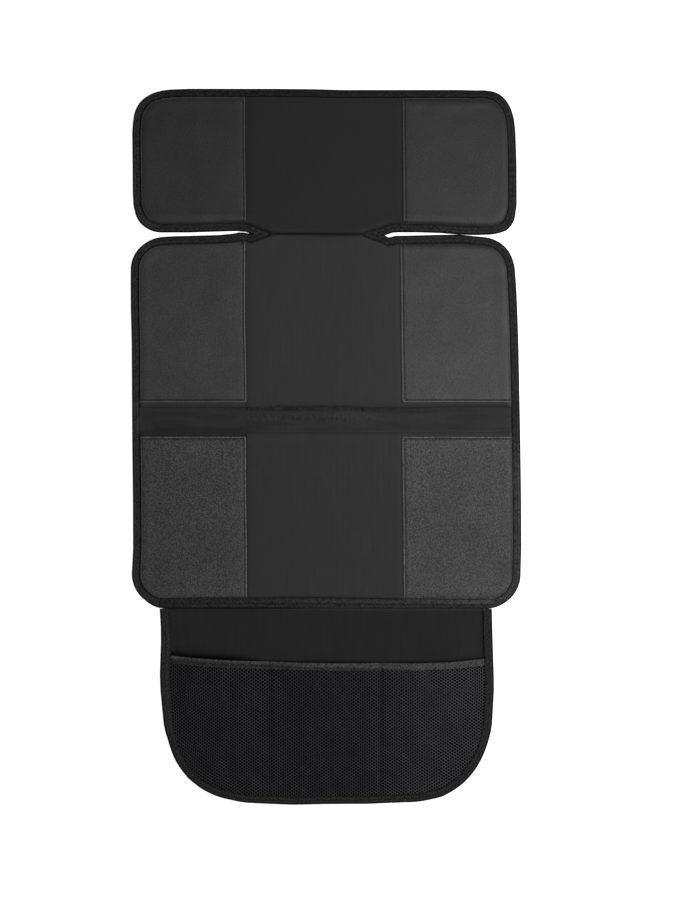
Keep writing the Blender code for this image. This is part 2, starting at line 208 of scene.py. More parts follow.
# %% lie of the cloth
LIE_X = {
    "head": {
        -1: ((262, -3.0), (275, -2.7), (289, -1.2), (311, -2.3), (348, -2.6), (384, -3.0), (400, -1.8),
             (428, -2.4)),
        1: ((262, 0.0), (268, 3.6), (275, 2.3), (289, -1.3), (311, -1.4), (348, -1.6), (384, -2.8),
            (406, -5.3), (428, -5.4)),
    },
    "seat": {
        -1: ((-182, -1.6), (-152, -0.9), (-123, 0.6), (-65, 0.4), (8, -0.5), (126, -1.1), (170, -2.2),
             (200, -2.4), (243, -2.2), (258, -2.0)),
        1: ((-182, 1.4), (-152, 0.9), (-123, 1.8), (-65, 1.6), (8, 0.6), (126, -1.7), (170, -3.2),
            (199, -4.6), (228, -6.9), (258, -6.6)),
    },
    "flap": {
        -1: ((-423, 2.7), (-404, -0.7), (-384, 0.3), (-355, 3.4), (-326, 3.2), (-296, 0.4), (-277, -0.3),
             (-238, 1.0), (-218, 0.8), (-197, -0.5)),
        1: ((-433, 7.0), (-423, 6.0), (-404, 5.0), (-384, 3.4), (-355, 1.4), (-326, 0.3), (-296, 2.0),
            (-277, 1.8), (-238, 0.6), (-218, -0.1), (-197, -0.6)),
    },
}
COLUMN_LIE = {
    -1: ((-180, 0.4), (-110, 0.1), (-60, -0.7), (9, -0.9), (60, -0.1), (110, -0.9), (150, -1.9),
         (190, -2.0), (243, -1.6), (262, -0.7), (300, -1.0), (340, -1.7), (400, -2.0), (436, -2.0)),
    1: ((-180, -2.8), (-110, -3.1), (-50, -4.1), (9, -4.6), (82, -4.6), (111, -5.5), (184, -6.0),
        (243, -6.9), (258, -6.5), (262, -3.2), (290, -3.0), (340, -3.6), (418, -4.2)),
}
LIE_Y = {
    "rear": ((-226, 0.0), (-214, -1.0), (-200, -0.9), (-186, 0.6), (-165, 1.4), (-60, 1.3), (-15, 0.9),
             (20, -0.1), (165, 0.0), (190, -0.6), (203, 0.0), (213, 1.6), (225, 2.4)),
    "head_slit": ((-230, -0.4), (-165, -0.4), (-129, 0.8), (-105, 1.4), (-97, 1.2), (-84, 0.4), (-77, 0.0),
                  (77, -1.2), (90, -0.2), (115, -0.3), (140, -1.1), (164, -3.1), (182, -3.6), (200, -3.0),
                  (215, -3.2), (228, -2.0)),
    "seat_slit": ((-220, -1.4), (-200, -0.7), (-180, 0.4), (-165, 0.7), (-129, 1.8), (-117, 3.0),
                  (-105, 4.2), (-97, 4.9), (-84, 4.7), (-77, 0.6), (76, -0.6), (79, -2.4), (84, -1.0),
                  (90, 0.7), (115, 1.2), (139, 2.0), (166, 2.2), (176, 1.4), (188, 0.2), (200, -0.8),
                  (214, -0.8)),
    "end": ((-190, 2.4), (-178, 1.4), (-154, -0.2), (-141, 0.7), (-117, 3.1), (-92, 2.9), (-60, 1.5),
            (-40, 0.8), (0, 1.6), (50, 1.9), (78, 3.1), (95, 3.6), (127, 0.6), (139, -1.4), (152, -1.5),
            (164, -1.5), (188, -0.6)),
    "front": ((-225, 1.5), (-165, 3.2), (0, 3.4), (100, 1.5), (165, 0.8), (225, 0.5)),
    "hem": ((-190, 1.9), (-100, 2.6), (0, 2.6), (60, 1.2), (110, -0.8), (152, -1.8), (190, -1.8)),
}
FLAP_TAPE_LIE = {
    -1: ((-400, 0.6), (-330, 1.4), (-270, 2.0), (-230, 2.6), (-197, 1.6)),
    1: ((-400, -0.4), (-300, -1.0), (-197, -1.0)),
}
TIPS = ((-85 * MM, -50 * MM, -14 * MM), (38 * MM, 56 * MM, -9 * MM))
FOLD_SEAM_LIE = (
    (-150, -0.6), (-75, -1.8), (-58, 0.4), (-20, 0.0), (28, 0.3), (42, -1.6), (100, -1.2), (160, 0.0),
)


def smooth(share):
    """A soft step from 0 to 1."""
    share = np.clip(share, 0, 1)
    return share * share * (3 - 2 * share)


def read(table, at):
    """A table's value in metres at each place in metres."""
    places, values = np.array(table).T
    return np.interp(at, places * MM, values * MM)


def near(distance, reach):
    """1 where a distance is nothing, and softly down to 0 where it is the reach or more."""
    return 1 - smooth(distance / reach)


def lie(part, points, tips=True):
    """Where points of one part really lie. The leather doesn't follow the tips of the slits."""
    points = np.array(points, float)
    x, y = points[:, 0].copy(), points[:, 1].copy()
    right = x > 0
    side = smooth((np.abs(x) - 100 * MM) / (90 * MM))
    points[:, 0] += side * np.where(right, read(LIE_X[part][1], y), read(LIE_X[part][-1], y))
    if part != "flap":
        column = near(np.abs(np.abs(x) - COLUMN_HALF), 50 * MM)
        points[:, 0] += column * np.where(right, read(COLUMN_LIE[1], y), read(COLUMN_LIE[-1], y))
        across = near(np.maximum(np.abs(y - Y_CREASE) - 12 * MM, 0), 12 * MM) * tips
        for low, high, shift in TIPS:
            beside = np.maximum(np.maximum(low - x, x - high), 0)
            points[:, 0] += near(beside, 30 * MM) * across * shift
    if part == "head":
        points[:, 1] += near(Y_REAR - y, 60 * MM) * read(LIE_Y["rear"], x)
        points[:, 1] += near(y - Y_CREASE, 55 * MM) * read(LIE_Y["head_slit"], x)
    if part == "seat":
        points[:, 1] += near(Y_CREASE - y, 55 * MM) * read(LIE_Y["seat_slit"], x)
        beyond = y - Y_FRONT
        inner = smooth(beyond / (11 * MM)) * near(beyond - 11 * MM, 60 * MM)
        points[:, 1] += inner * read(LIE_Y["front"], x)
        points[:, 1] += near(np.abs(y - Y_REAR_PANEL_END + FOLD_STITCH), 8 * MM) * read(FOLD_SEAM_LIE, x)
    if part == "flap":
        beyond = HALF["flap"] - np.abs(x)
        inner = smooth(beyond / TAPE_WIDTH) * near(beyond - TAPE_WIDTH, 40 * MM)
        points[:, 0] += inner * np.where(right, read(FLAP_TAPE_LIE[1], y), read(FLAP_TAPE_LIE[-1], y))
        points[:, 1] += near(y - Y_END, 90 * MM) * read(LIE_Y["end"], x)
        points[:, 1] += near(np.abs(y - hem_line(x)), 45 * MM) * read(LIE_Y["hem"], x)
    return points


def hem_line(x):
    """Where the pocket's upper edge runs across the flap."""
    return Y_FRONT - HEM_DEPTH - HEM_SAG * (1 - (x / HALF["flap"]) ** 2)


# %% [markdown]
# ## Mesh helpers
#
# Cloth needs an even mesh, or a simulation stiffens along the long triangles. A subdivided grid would
# be even too, but it would follow the seams only in steps. So each layer is filled with a lattice of
# points, its borders and seams are added as lines, and the whole is joined into triangles that never
# cross a line.


# %% outlines
def distance(line, points):
    """How far each point lies from a line."""
    best = np.full(len(points), np.inf)
    for a, b in zip(line[:-1], line[1:]):
        run = b - a
        share = np.clip(((points - a) @ run) / max(run @ run, 1e-12), 0, 1)
        best = np.minimum(best, np.linalg.norm(points - a - share[:, None] * run, axis=1))
    return best


def clip(points, axis, limit, above):
    """The part of a closed outline on one side of a line across X or Y."""
    sign = 1 if above else -1
    kept = []
    for a, b in zip(points, np.roll(points, -1, axis=0)):
        da, db = (a[axis] - limit) * sign, (b[axis] - limit) * sign
        if da >= 0:
            kept.append(a)
        if da * db < 0:
            kept.append(a + (b - a) * da / (da - db))
    kept = np.array(kept)
    keep = np.linalg.norm(kept - np.roll(kept, 1, axis=0), axis=1) > 0.1 * MM
    return kept[keep]


def even_outline(points, spacing):
    """A closed outline as evenly spaced points."""
    closed = even_steps(np.vstack([points, points[:1]]), spacing)
    return closed[:-1]


def inside(outline, points):
    """Which points lie inside a closed outline."""
    found = np.zeros(len(points), bool)
    x, y = points.T
    for a, b in zip(outline, np.roll(outline, -1, axis=0)):
        crosses = (a[1] > y) != (b[1] > y)
        if crosses.any():
            at = a[0] + (y - a[1]) / (b[1] - a[1] if b[1] != a[1] else 1e-12) * (b[0] - a[0])
            found ^= crosses & (x < at)
    return found


# %% filling an outline
ROW_STEP = 0.866
CLEAR_OF_LINES = 0.55


def fill(outline, lines, spacing):
    """Points and triangles of an even mesh inside an outline, with edges along the lines."""
    x, y = outline.T
    area = (x * np.roll(y, -1) - y * np.roll(x, -1)).sum()
    outline = outline if area > 0 else outline[::-1]
    low, high = outline.min(axis=0), outline.max(axis=0)
    lattice = []
    for i, y in enumerate(np.arange(low[1], high[1], spacing * ROW_STEP)):
        x = np.arange(low[0] + (i % 2) * spacing / 2, high[0], spacing)
        lattice.append(np.c_[x, np.full(len(x), y)])
    lattice = np.vstack(lattice)
    lattice = lattice[inside(outline, lattice)]
    for line in [np.vstack([outline, outline[:1]])] + lines:
        lattice = lattice[distance(line, lattice) > spacing * CLEAR_OF_LINES]
    points = [Vector(p) for p in outline] + [Vector(p) for p in lattice]
    edges = []
    for line in lines:
        edges += [(len(points) + i, len(points) + i + 1) for i in range(len(line) - 1)]
        points += [Vector(p) for p in line]
    rim = list(range(len(outline)))
    flat, _, faces, _, _, origin = delaunay_2d_cdt(points, edges, [rim], 0, 1e-6, True)
    kept = np.array([face for face, where in zip(faces, origin) if where])
    used, index = np.unique(kept, return_inverse=True)
    return np.array([flat[i] for i in used]), index.reshape(-1, 3)


def border_edges(faces):
    """The edges that only one face has, each in that face's direction."""
    sides = faces.shape[1]
    pairs = np.concatenate([faces[:, [i, (i + 1) % sides]] for i in range(sides)])
    known = {tuple(pair) for pair in pairs.tolist()}
    return [pair for pair in known if (pair[1], pair[0]) not in known]


# %% [markdown]
# ## Pieces of cloth
#
# Cloth could be a single face, but its cut edge would then show no thickness. Here a layer gets a
# second copy underneath and a rim of quads, so each piece is a closed solid. Two numbers are kept at
# its points for the finishes: a tone, which makes the surface darker or lighter there and mostly
# holds painted light and shade, and how wrinkled it is.


# %% pieces of cloth
def mesh_object(name, points, faces, uv=None, tone=1.0):
    """A mesh object. Its tone, mostly painted light and shade, darkens or lightens the finish point by
    point.
    """
    mesh = bpy.data.meshes.new(name)
    mesh.from_pydata([tuple(p) for p in points], [], [tuple(f) for f in faces])
    tones = mesh.attributes.new("tone", "FLOAT", "POINT")
    tones.data.foreach_set("value", np.broadcast_to(tone, len(mesh.vertices)).astype(np.float32))
    if uv is not None:
        layer = mesh.uv_layers.new(name="cloth")
        at = np.zeros(len(mesh.loops), int)
        mesh.loops.foreach_get("vertex_index", at)
        layer.data.foreach_set("uv", np.asarray(uv, np.float32)[at].ravel())
    mesh.shade_smooth()
    made = bpy.data.objects.new(name, mesh)
    bpy.context.scene.collection.objects.link(made)
    return made


def closed_layer(name, part, flat, faces, top, bottom, tone=1.0, tips=True):
    """A closed piece of cloth from its flat mesh and the heights of its two faces."""
    laid = lie(part, flat, tips)
    points = np.vstack([np.c_[laid, top], np.c_[laid, bottom]])
    count = len(flat)
    rim = [(b, a, a + count, b + count) for a, b in border_edges(faces)]
    every = faces.tolist() + (faces[:, ::-1] + count).tolist() + rim
    return mesh_object(name, points, every, tone=np.tile(np.broadcast_to(tone, count), 2))


def note_wrinkles(layer, wrinkle):
    """Stores how wrinkled a closed piece of cloth is at each point, for its finish to use."""
    values = layer.data.attributes.new("wrinkle", "FLOAT", "POINT")
    values.data.foreach_set("value", np.tile(wrinkle, 2).astype(np.float32))


def waves(points, length, seed, detail=2):
    """Smooth irregular waves of about this length, from -1 to 1."""
    shift = Vector((seed * 3.7, seed * 1.3, seed * 0.7))
    values = [
        noise.fractal(Vector((p[0], p[1], 0)) / length + shift, 1.0, 2.0, detail) for p in points
    ]
    return np.clip(np.array(values) * 1.6, -1, 1)


PIECES = []


def piece(obj, finish, slot, *nodes):
    """Gives a piece its finish and its place in the frame."""
    obj.data.materials.clear()
    obj.data.materials.append(finish)
    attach(obj, "root")
    if nodes:
        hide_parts(*nodes)
    PIECES.append(obj.name)
    print(obj.name, len(obj.data.polygons), "faces")
    return obj


# %% [markdown]
# ## Finishes
#
# Cloth, leather, tape, net, backing and thread are all near black here, so what tells them apart is
# their fine structure. A picture of each could be wrapped round the pieces, but it would blur close
# up. Noise and stripe patterns are used instead, each at its real scale in the millimetres of the
# mat. These helpers keep the recipes short.


# %% pattern helpers
def node(tree, kind, **values):
    """Adds a node and sets what it is given, a property or an input."""
    made = tree.nodes.new(kind)
    for name, value in values.items():
        if hasattr(made, name):
            setattr(made, name, value)
        else:
            made.inputs[name.replace("_", " ")].default_value = value
    return made


def shader(name, roughness, specular, sheen=0.0):
    """A new material, its node tree and its surface shader."""
    made = bpy.data.materials.new(name)
    made.use_nodes = True
    tree = made.node_tree
    principled = tree.nodes["Principled BSDF"]
    principled.inputs["Roughness"].default_value = roughness
    principled.inputs["Specular IOR Level"].default_value = specular
    principled.inputs["Sheen Weight"].default_value = sheen
    principled.inputs["Sheen Roughness"].default_value = 0.5
    return made, tree, principled


def coordinates(tree, source="Object", turn=0.0, stretch=(1, 1, 1)):
    """Places on the piece in metres, turned by some degrees and stretched."""
    place = tree.nodes.new("ShaderNodeTexCoord")
    mapping = tree.nodes.new("ShaderNodeMapping")
    mapping.inputs["Rotation"].default_value = (0, 0, math.radians(turn))
    mapping.inputs["Scale"].default_value = stretch
    tree.links.new(place.outputs[source], mapping.inputs["Vector"])
    return mapping.outputs["Vector"]


STRIPE_SCALE = 0.314


def stripes(tree, vector, pitch, direction, distortion=0.0):
    """Even stripes this far apart. The node's own stripes lie 0.314 apart at a scale of 1."""
    wave = node(tree, "ShaderNodeTexWave", wave_type="BANDS", bands_direction=direction)
    wave.inputs["Scale"].default_value = STRIPE_SCALE / pitch
    wave.inputs["Distortion"].default_value = distortion
    wave.inputs["Detail Scale"].default_value = 0.3
    tree.links.new(vector, wave.inputs["Vector"])
    return wave.outputs["Fac"]


def cloud(tree, vector, size, detail=4.0):
    """Soft blotches of about this size."""
    made = node(tree, "ShaderNodeTexNoise")
    made.inputs["Scale"].default_value = 1 / size
    made.inputs["Detail"].default_value = detail
    tree.links.new(vector, made.inputs["Vector"])
    return made.outputs["Fac"]


def maths(tree, operation, a, b):
    """Joins two patterns, or a pattern and a number."""
    made = node(tree, "ShaderNodeMath", operation=operation)
    for socket, value in zip(made.inputs, (a, b)):
        if isinstance(value, (int, float)):
            socket.default_value = value
        else:
            tree.links.new(value, socket)
    return made.outputs[0]


def spread(tree, value, low, high, dark, light):
    """Turns a pattern's value into a colour between two greys."""
    ramp = tree.nodes.new("ShaderNodeValToRGB")
    ramp.color_ramp.elements[0].position = low
    ramp.color_ramp.elements[1].position = high
    ramp.color_ramp.elements[0].color = (*dark, 1)
    ramp.color_ramp.elements[1].color = (*light, 1)
    tree.links.new(value, ramp.inputs["Fac"])
    return ramp.outputs["Color"]


def bump(tree, principled, layers):
    """Stacks bumps, each a height pattern, a depth in metres and a strength."""
    previous = None
    for height, depth, strength in layers:
        made = node(tree, "ShaderNodeBump")
        made.inputs["Distance"].default_value = depth
        made.inputs["Strength"].default_value = strength
        tree.links.new(height, made.inputs["Height"])
        if previous is not None:
            tree.links.new(previous, made.inputs["Normal"])
        previous = made.outputs["Normal"]
    tree.links.new(previous, principled.inputs["Normal"])


def scaled(colour, factor):
    return tuple(c * factor for c in colour)


def mix(tree, first, share, second, other_share):
    """Two patterns, each times its share, added up."""
    first = maths(tree, "MULTIPLY", first, share)
    return maths(tree, "ADD", first, maths(tree, "MULTIPLY", second, other_share))


def wrinkles(tree, size, stretch):
    """Fine wrinkles around zero, as strong as the piece's own wrinkle value at each point."""
    strength = node(tree, "ShaderNodeAttribute", attribute_name="wrinkle")
    lines = cloud(tree, coordinates(tree, stretch=stretch), size, 2.0)
    return maths(tree, "MULTIPLY", maths(tree, "SUBTRACT", lines, 0.5), strength.outputs["Fac"])


DARKEST_FOLD_SHADE = 0.25


def colour_it(tree, principled, colours, folds=None):
    """Gives a finish its colours, times the piece's own tone, with painted shade in the folds and painted
    light on their ridges.
    """
    tone = node(tree, "ShaderNodeAttribute", attribute_name="tone").outputs["Fac"]
    # Painted shade in the folds and painted light on their ridges.
    if folds is not None:
        shade = maths(tree, "MAXIMUM", maths(tree, "ADD", folds, 1.0), DARKEST_FOLD_SHADE)
        tone = maths(tree, "MULTIPLY", tone, shade)
    made = node(tree, "ShaderNodeVectorMath", operation="SCALE")
    tree.links.new(colours, made.inputs[0])
    tree.links.new(tone, made.inputs["Scale"])
    tree.links.new(made.outputs["Vector"], principled.inputs["Base Color"])


# %% [markdown]
# ## Woven cloth
#
# The face and the flap are basket-woven polyester: threads over and under each other, a millimetre
# apart, and faint ribs here and there where the loom packed them closer. Each thread could be a mesh,
# but that would be millions of faces for something that barely shows. Two crossed sets of stripes
# give the weave, and the ribs only come through where a cloud pattern is high.


# %% cloth finish
def face_cloth(name, colour, specular=0.2, thread=1.1 * MM, rib=7 * MM):
    """Basket-woven polyester, with painted shade in its gathers."""
    made, tree, principled = shader(name, 0.72, specular, 0.03)
    place = coordinates(tree)
    across = stripes(tree, place, thread, "X", 0.6)
    along = stripes(tree, place, thread, "Y", 0.6)
    weave = maths(tree, "MULTIPLY", across, along)
    patches = cloud(tree, place, 45 * MM, 5.0)
    packed = maths(tree, "MULTIPLY", maths(tree, "POWER", patches, 5.0), 20.0)
    ribs = maths(tree, "MULTIPLY", stripes(tree, place, rib, "X", 2.5), packed)
    drawn = cloud(tree, coordinates(tree, stretch=(1, 0.15, 1)), 5 * MM, 4.0)
    mixed = mix(tree, ribs, 0.12, drawn, 0.9)
    colours = spread(tree, mixed, 0.3, 0.9, scaled(colour, 0.92), scaled(colour, 1.10))
    gathers = wrinkles(tree, 2.2 * MM, (1, 0.3, 1))
    # Painted shade in the gathers' folds and painted light on their ridges.
    colour_it(tree, principled, colours, maths(tree, "MULTIPLY", gathers, 5.0))
    bump(tree, principled, [(patches, 1.2 * MM, 0.25), (weave, 0.25 * MM, 0.35), (gathers, 2 * MM, 0.6)])
    return made


# %% [markdown]
# ## Pebbled leather
#
# The patches are coated leather with an embossed grain: small round pebbles with a fine crease round
# each. The grain could be carved into the mesh, but at this size it only changes the shading. Cells
# round scattered points make the pebbles, in two sizes, and each cell is highest in its middle.


# %% leather finish
def pebbled(tree, place, size):
    """Round pebbles of this size, 1 on top and lower towards the creases between them."""
    made = node(tree, "ShaderNodeTexVoronoi", feature="SMOOTH_F1")
    made.inputs["Scale"].default_value = 1 / size
    made.inputs["Smoothness"].default_value = 0.5
    tree.links.new(place, made.inputs["Vector"])
    return maths(tree, "SUBTRACT", 1.0, made.outputs["Distance"])


def pebbled_leather(name, colour, contrast=1.0):
    """Coated leather: pebbles of two sizes, with a lighter top and a dull crease around each."""
    made, tree, principled = shader(name, 0.52, 0.3)
    place = coordinates(tree)
    pebbles, grains = [pebbled(tree, place, size * MM) for size in (1.9, 1.1)]
    patches = cloud(tree, place, 30 * MM, 4.0)
    speckle = cloud(tree, place, 0.8 * MM, 2.0)
    mixed = mix(tree, pebbles, 0.45, speckle, 0.95)
    dark, light = scaled(colour, 1 - 0.55 * contrast), scaled(colour, 1 + 0.60 * contrast)
    colours = spread(tree, mixed, 0.62, 1.02, dark, light)
    creases = wrinkles(tree, 2.2 * MM, (1, 0.7, 1))
    # Painted shade in the large creases and painted light on their ridges.
    colour_it(tree, principled, colours, maths(tree, "MULTIPLY", creases, 1.3))
    rough = maths(tree, "ADD", maths(tree, "MULTIPLY", patches, 0.12), 0.46)
    tree.links.new(rough, principled.inputs["Roughness"])
    deep = 0.35 * contrast
    layers = [(pebbles, 0.5 * MM, deep), (grains, 0.25 * MM, deep), (creases, 1 * MM, 0.4)]
    bump(tree, principled, layers)
    return made


# %% [markdown]
# ## Twill tape
#
# The tape round the edges is a narrow twill, whose threads run slantwise. Stripes across the whole
# mat would ignore the tape's bends, so these follow the tape's own coordinates, along and across it.


# %% tape finish
def woven_tape(name, colour, pitch=2.4 * MM):
    """Twill tape: slanted ribs across its width, and blotches where its wear makes it lighter."""
    made, tree, principled = shader(name, 0.8, 0.04, 0.01)
    place = coordinates(tree, "UV", 42)
    twill = stripes(tree, place, pitch, "X", 2.0)
    cross = stripes(tree, place, pitch * 1.6, "Y", 1.0)
    weave = mix(tree, twill, 0.7, cross, 0.3)
    wear = cloud(tree, coordinates(tree), 2.2 * MM, 4.0)
    mixed = mix(tree, weave, 0.25, wear, 1.15)
    colours = spread(tree, mixed, 0.42, 0.95, scaled(colour, 0.35), scaled(colour, 2.0))
    colour_it(tree, principled, colours)
    bump(tree, principled, [(wear, 0.8 * MM, 0.4), (weave, 0.3 * MM, 0.6)])
    return made


# %% [markdown]
# ## Net, backing and thread
#
# These three show little of themselves. The net's strands are a mesh further on, so their finish only
# adds fibres. The backing is coated with small soft dots that keep the mat from sliding. The sewing
# thread is twisted, which slanted stripes show well enough.


# %% net, backing and thread finishes
def knitted_net(name, colour):
    """Soft fibres on the strands of the net."""
    made, tree, principled = shader(name, 0.65, 0.15, 0.02)
    place = coordinates(tree)
    fibres = cloud(tree, place, 0.5 * MM, 3.0)
    patches = cloud(tree, place, 25 * MM, 3.0)
    colours = spread(tree, patches, 0.3, 0.75, scaled(colour, 0.9), scaled(colour, 1.1))
    colour_it(tree, principled, colours)
    bump(tree, principled, [(fibres, 0.1 * MM, 0.4)])
    return made


def coated_backing(name, colour):
    """Cloth with coated dots in even rows."""
    made, tree, principled = shader(name, 0.85, 0.2)
    place = coordinates(tree)
    dots = node(tree, "ShaderNodeTexVoronoi", feature="F1")
    dots.inputs["Scale"].default_value = 1 / (5 * MM)
    dots.inputs["Randomness"].default_value = 0.0
    tree.links.new(place, dots.inputs["Vector"])
    raised = maths(tree, "LESS_THAN", dots.outputs["Distance"], 0.26)
    across, along = [stripes(tree, place, 1.2 * MM, direction) for direction in "XY"]
    weave = maths(tree, "MULTIPLY", across, along)
    colours = spread(tree, raised, 0.2, 0.8, scaled(colour, 0.9), scaled(colour, 1.5))
    colour_it(tree, principled, colours)
    bump(tree, principled, [(weave, 0.2 * MM, 0.3), (raised, 0.4 * MM, 0.5)])
    return made


def sewing_thread(name, colour):
    """Twisted thread."""
    made, tree, principled = shader(name, 0.55, 0.35)
    twist = stripes(tree, coordinates(tree, turn=35), 0.35 * MM, "X")
    colours = spread(tree, twist, 0.2, 0.8, scaled(colour, 0.8), scaled(colour, 1.2))
    colour_it(tree, principled, colours)
    bump(tree, principled, [(twist, 0.08 * MM, 0.4)])
    return made


# %% [markdown]
# ## The mat's own finishes
#
# The same cloth and leather look darker on the head flap, where less light falls, so each section
# has a grey of its own. One grey and a weaker lamp at that end would do it too, but two greys are
# easier to set one by one.

# %% finishes
GREY = (1.0, 1.0, 1.0)
HEAD_CLOTH = face_cloth("head_cloth_finish", scaled(GREY, 0.0132))
SEAT_CLOTH = face_cloth("seat_cloth_finish", scaled(GREY, 0.0252))
HEAD_LEATHER = pebbled_leather("head_leather_finish", scaled(GREY, 0.0175), 0.45)
REAR_LEATHER = pebbled_leather("rear_leather_finish", scaled(GREY, 0.0300), 0.55)
FRONT_LEATHER = pebbled_leather("front_leather_finish", scaled(GREY, 0.0400), 1.2)
EDGE_TAPE = woven_tape("edge_tape_finish", (0.0164, 0.0163, 0.0160))
HEM_TAPE = woven_tape("hem_tape_finish", scaled(GREY, 0.036))
FLAP_CLOTH = face_cloth("flap_cloth_finish", scaled(GREY, 0.0185), specular=0.04)
NET = knitted_net("net_finish", (0.0215, 0.0215, 0.0245))
BACKING = coated_backing("backing_finish", scaled(GREY, 0.02))
THREAD = sewing_thread("thread_finish", scaled(GREY, 0.004))
LIGHT_THREAD = sewing_thread("light_thread_finish", scaled(GREY, 0.03))
FOLD_THREAD = sewing_thread("fold_thread_finish", scaled(GREY, 0.014))
print("finishes:", len(bpy.data.materials))

# %% [markdown]
# ## The padded covers
#
# A cover is the face cloth over its foam. The cloth is cut a little larger than the foam's face, so
# once the edges, the crease and the fold are sewn down, it swells between the seams. A bevelled plate
# would be too even for that. The cover starts from the model's height instead, and a cloth simulation
# does the rest. First come the heights: of the backing below, and of the padding over it.


# %% cover heights
Y_FOLD_REAR = Y_REAR_PANEL_END - FOLD_STITCH
Y_FOLD_FRONT = Y_FRONT_PANEL_END + FOLD_STITCH
COVER_INSET = 1.5 * MM


def crease_of(part):
    return Y_CREASE + (GAP / 2 if part == "head" else -GAP / 2)


def seam_depth(part, points):
    """How far each point lies inside the nearest row of stitches."""
    depth = distance(LINES[part], points) - TAPE_WIDTH - GAP
    y = points[:, 1]
    depth = np.minimum(depth, np.abs(y - crease_of(part)))
    if part == "seat":
        depth = np.minimum(depth, np.maximum(y - Y_FOLD_REAR, Y_FOLD_FRONT - y))
    return np.maximum(depth, 0)


def front_rise(part, points):
    """How far the seat section's front is lifted by the flap that is sewn under it."""
    if part != "seat":
        return np.zeros(len(points))
    share = (Y_FRONT + FRONT_RISE_RUN - points[:, 1]) / (FRONT_RISE_RUN - TAPE_WIDTH)
    return FRONT_RISE * smooth(share)


def floor_height(part, points):
    """The height of the backing's lower face, which lies over the tape's lower leg."""
    run_in = distance(LINES[part], points) - TAPE_WIDTH - GAP
    return (TAPE + GAP) * (1 - smooth(run_in / CROWN)) + front_rise(part, points)


def crown(depth):
    """The padding's height this far inside a seam: steep at first, then nearly flat."""
    share = np.minimum(depth / CROWN, 1)
    return PAD * (1 - (1 - share) ** 7) ** 0.36


def cover_outline(part):
    line = LINES[part] + INWARD[part] * COVER_INSET
    return even_outline(clip(line, 1, crease_of(part), part == "head"), 3 * MM)


# %% [markdown]
# ## Where the covers' mesh has its lines
#
# A seam only looks sharp where the mesh has edges along it. Finer triangles everywhere would do that
# too, at many times the cost. So the seams and the first few millimetres beside them get lines, close
# together where the cloth rises steeply, and the fold band gets enough lines to crease.


# %% cover lines
TAPE_STEPS = (0, 0.5, 1.3, 2.6, 4.5)
CREASE_STEPS = (0.5, 1.2, 2.4, 4.4)
COLUMN_STEPS = (0.1, 0.9, 2.0, 3.6)
FOLD_STEPS = (0, 0.6, 1.5, 3)
PATCH_SIDE_STEPS = (0.4, 1.6)
FOLD_LINES = 14


def level_line(x, y):
    return np.c_[x, np.full(len(x), y)]


def cover_lines(part):
    """Seams and the first steps up from them, along which the mesh has its edges."""
    away = 1 if part == "head" else -1
    lines = []
    for run_in in TAPE_STEPS:
        line = even_steps(LINES[part] + INWARD[part] * (TAPE_WIDTH + GAP + run_in * MM), 3 * MM)
        lines.append(line[(line[:, 1] - crease_of(part)) * away > 1 * MM])
    x = np.arange(-46, 47, 3) * MM
    lines += [level_line(x, crease_of(part) + away * run_in * MM) for run_in in CREASE_STEPS]
    far = Y_REAR if part == "head" else Y_FRONT
    y = np.arange(7 * MM, abs(far - Y_CREASE) - 16 * MM, 3 * MM) * away + Y_CREASE
    for side in (-1, 1):
        for run_in in COLUMN_STEPS:
            lines.append(np.c_[np.full(len(y), side * (COLUMN_HALF - run_in * MM)), y])
    if part == "seat":
        half = HALF["seat"] - TAPE_WIDTH
        x = np.arange(-half, half, 1.4 * MM)
        for run_in in FOLD_STEPS:
            lines.append(level_line(x, Y_FOLD_REAR + run_in * MM))
            lines.append(level_line(x, Y_FOLD_FRONT - run_in * MM))
        for run_in in PATCH_SIDE_STEPS:
            lines.append(level_line(x, Y_FRONT_PANEL_END + run_in * MM))
        for y in np.linspace(Y_FOLD_FRONT, Y_FOLD_REAR, FOLD_LINES)[1:-1]:
            lines.append(level_line(x, y))
    return lines


# %% [markdown]
# ## Swelling the cloth
#
# Sewn cloth is held along its seams and pushed up by the foam between them. Sculpting that by hand
# would take long and look even. The simulation has what it takes: the seams are pinned, the foam
# holds the rest softly, a little pressure lifts it, and the cloth is grown by about a hundredth, so
# that it has more length than the foam below it.


# %% simulation
GROWTH = 0.012


def simulate(obj, pins, grow, pressure, frames=18):
    """Swells a pinned cloth with the simulation and returns where its points end up."""
    held = obj.vertex_groups.new(name="held")
    free = obj.vertex_groups.new(name="grows")
    for i, (pin, share) in enumerate(zip(pins, grow)):
        held.add([i], float(pin), "REPLACE")
        free.add([i], float(share), "REPLACE")
    cloth = obj.modifiers.new("cloth", "CLOTH")
    settings = cloth.settings
    settings.quality = 6
    settings.mass = 0.25
    settings.tension_stiffness = 20
    settings.compression_stiffness = 20
    settings.shear_stiffness = 8
    settings.bending_stiffness = 0.35
    settings.vertex_group_mass = "held"
    settings.pin_stiffness = 1.0
    settings.use_pressure = True
    settings.uniform_pressure_force = pressure
    settings.vertex_group_shrink = "grows"
    settings.shrink_min = 0.0
    settings.shrink_max = -GROWTH
    settings.effector_weights.gravity = 0
    cloth.collision_settings.use_collision = False
    cloth.point_cache.frame_start = 1
    cloth.point_cache.frame_end = frames
    scene = bpy.context.scene
    for at in range(1, frames + 1):
        scene.frame_set(at)
    evaluated = obj.evaluated_get(bpy.context.evaluated_depsgraph_get())
    moved = np.zeros(len(obj.data.vertices) * 3)
    evaluated.data.vertices.foreach_get("co", moved)
    scene.frame_set(1)
    return moved.reshape(-1, 3)
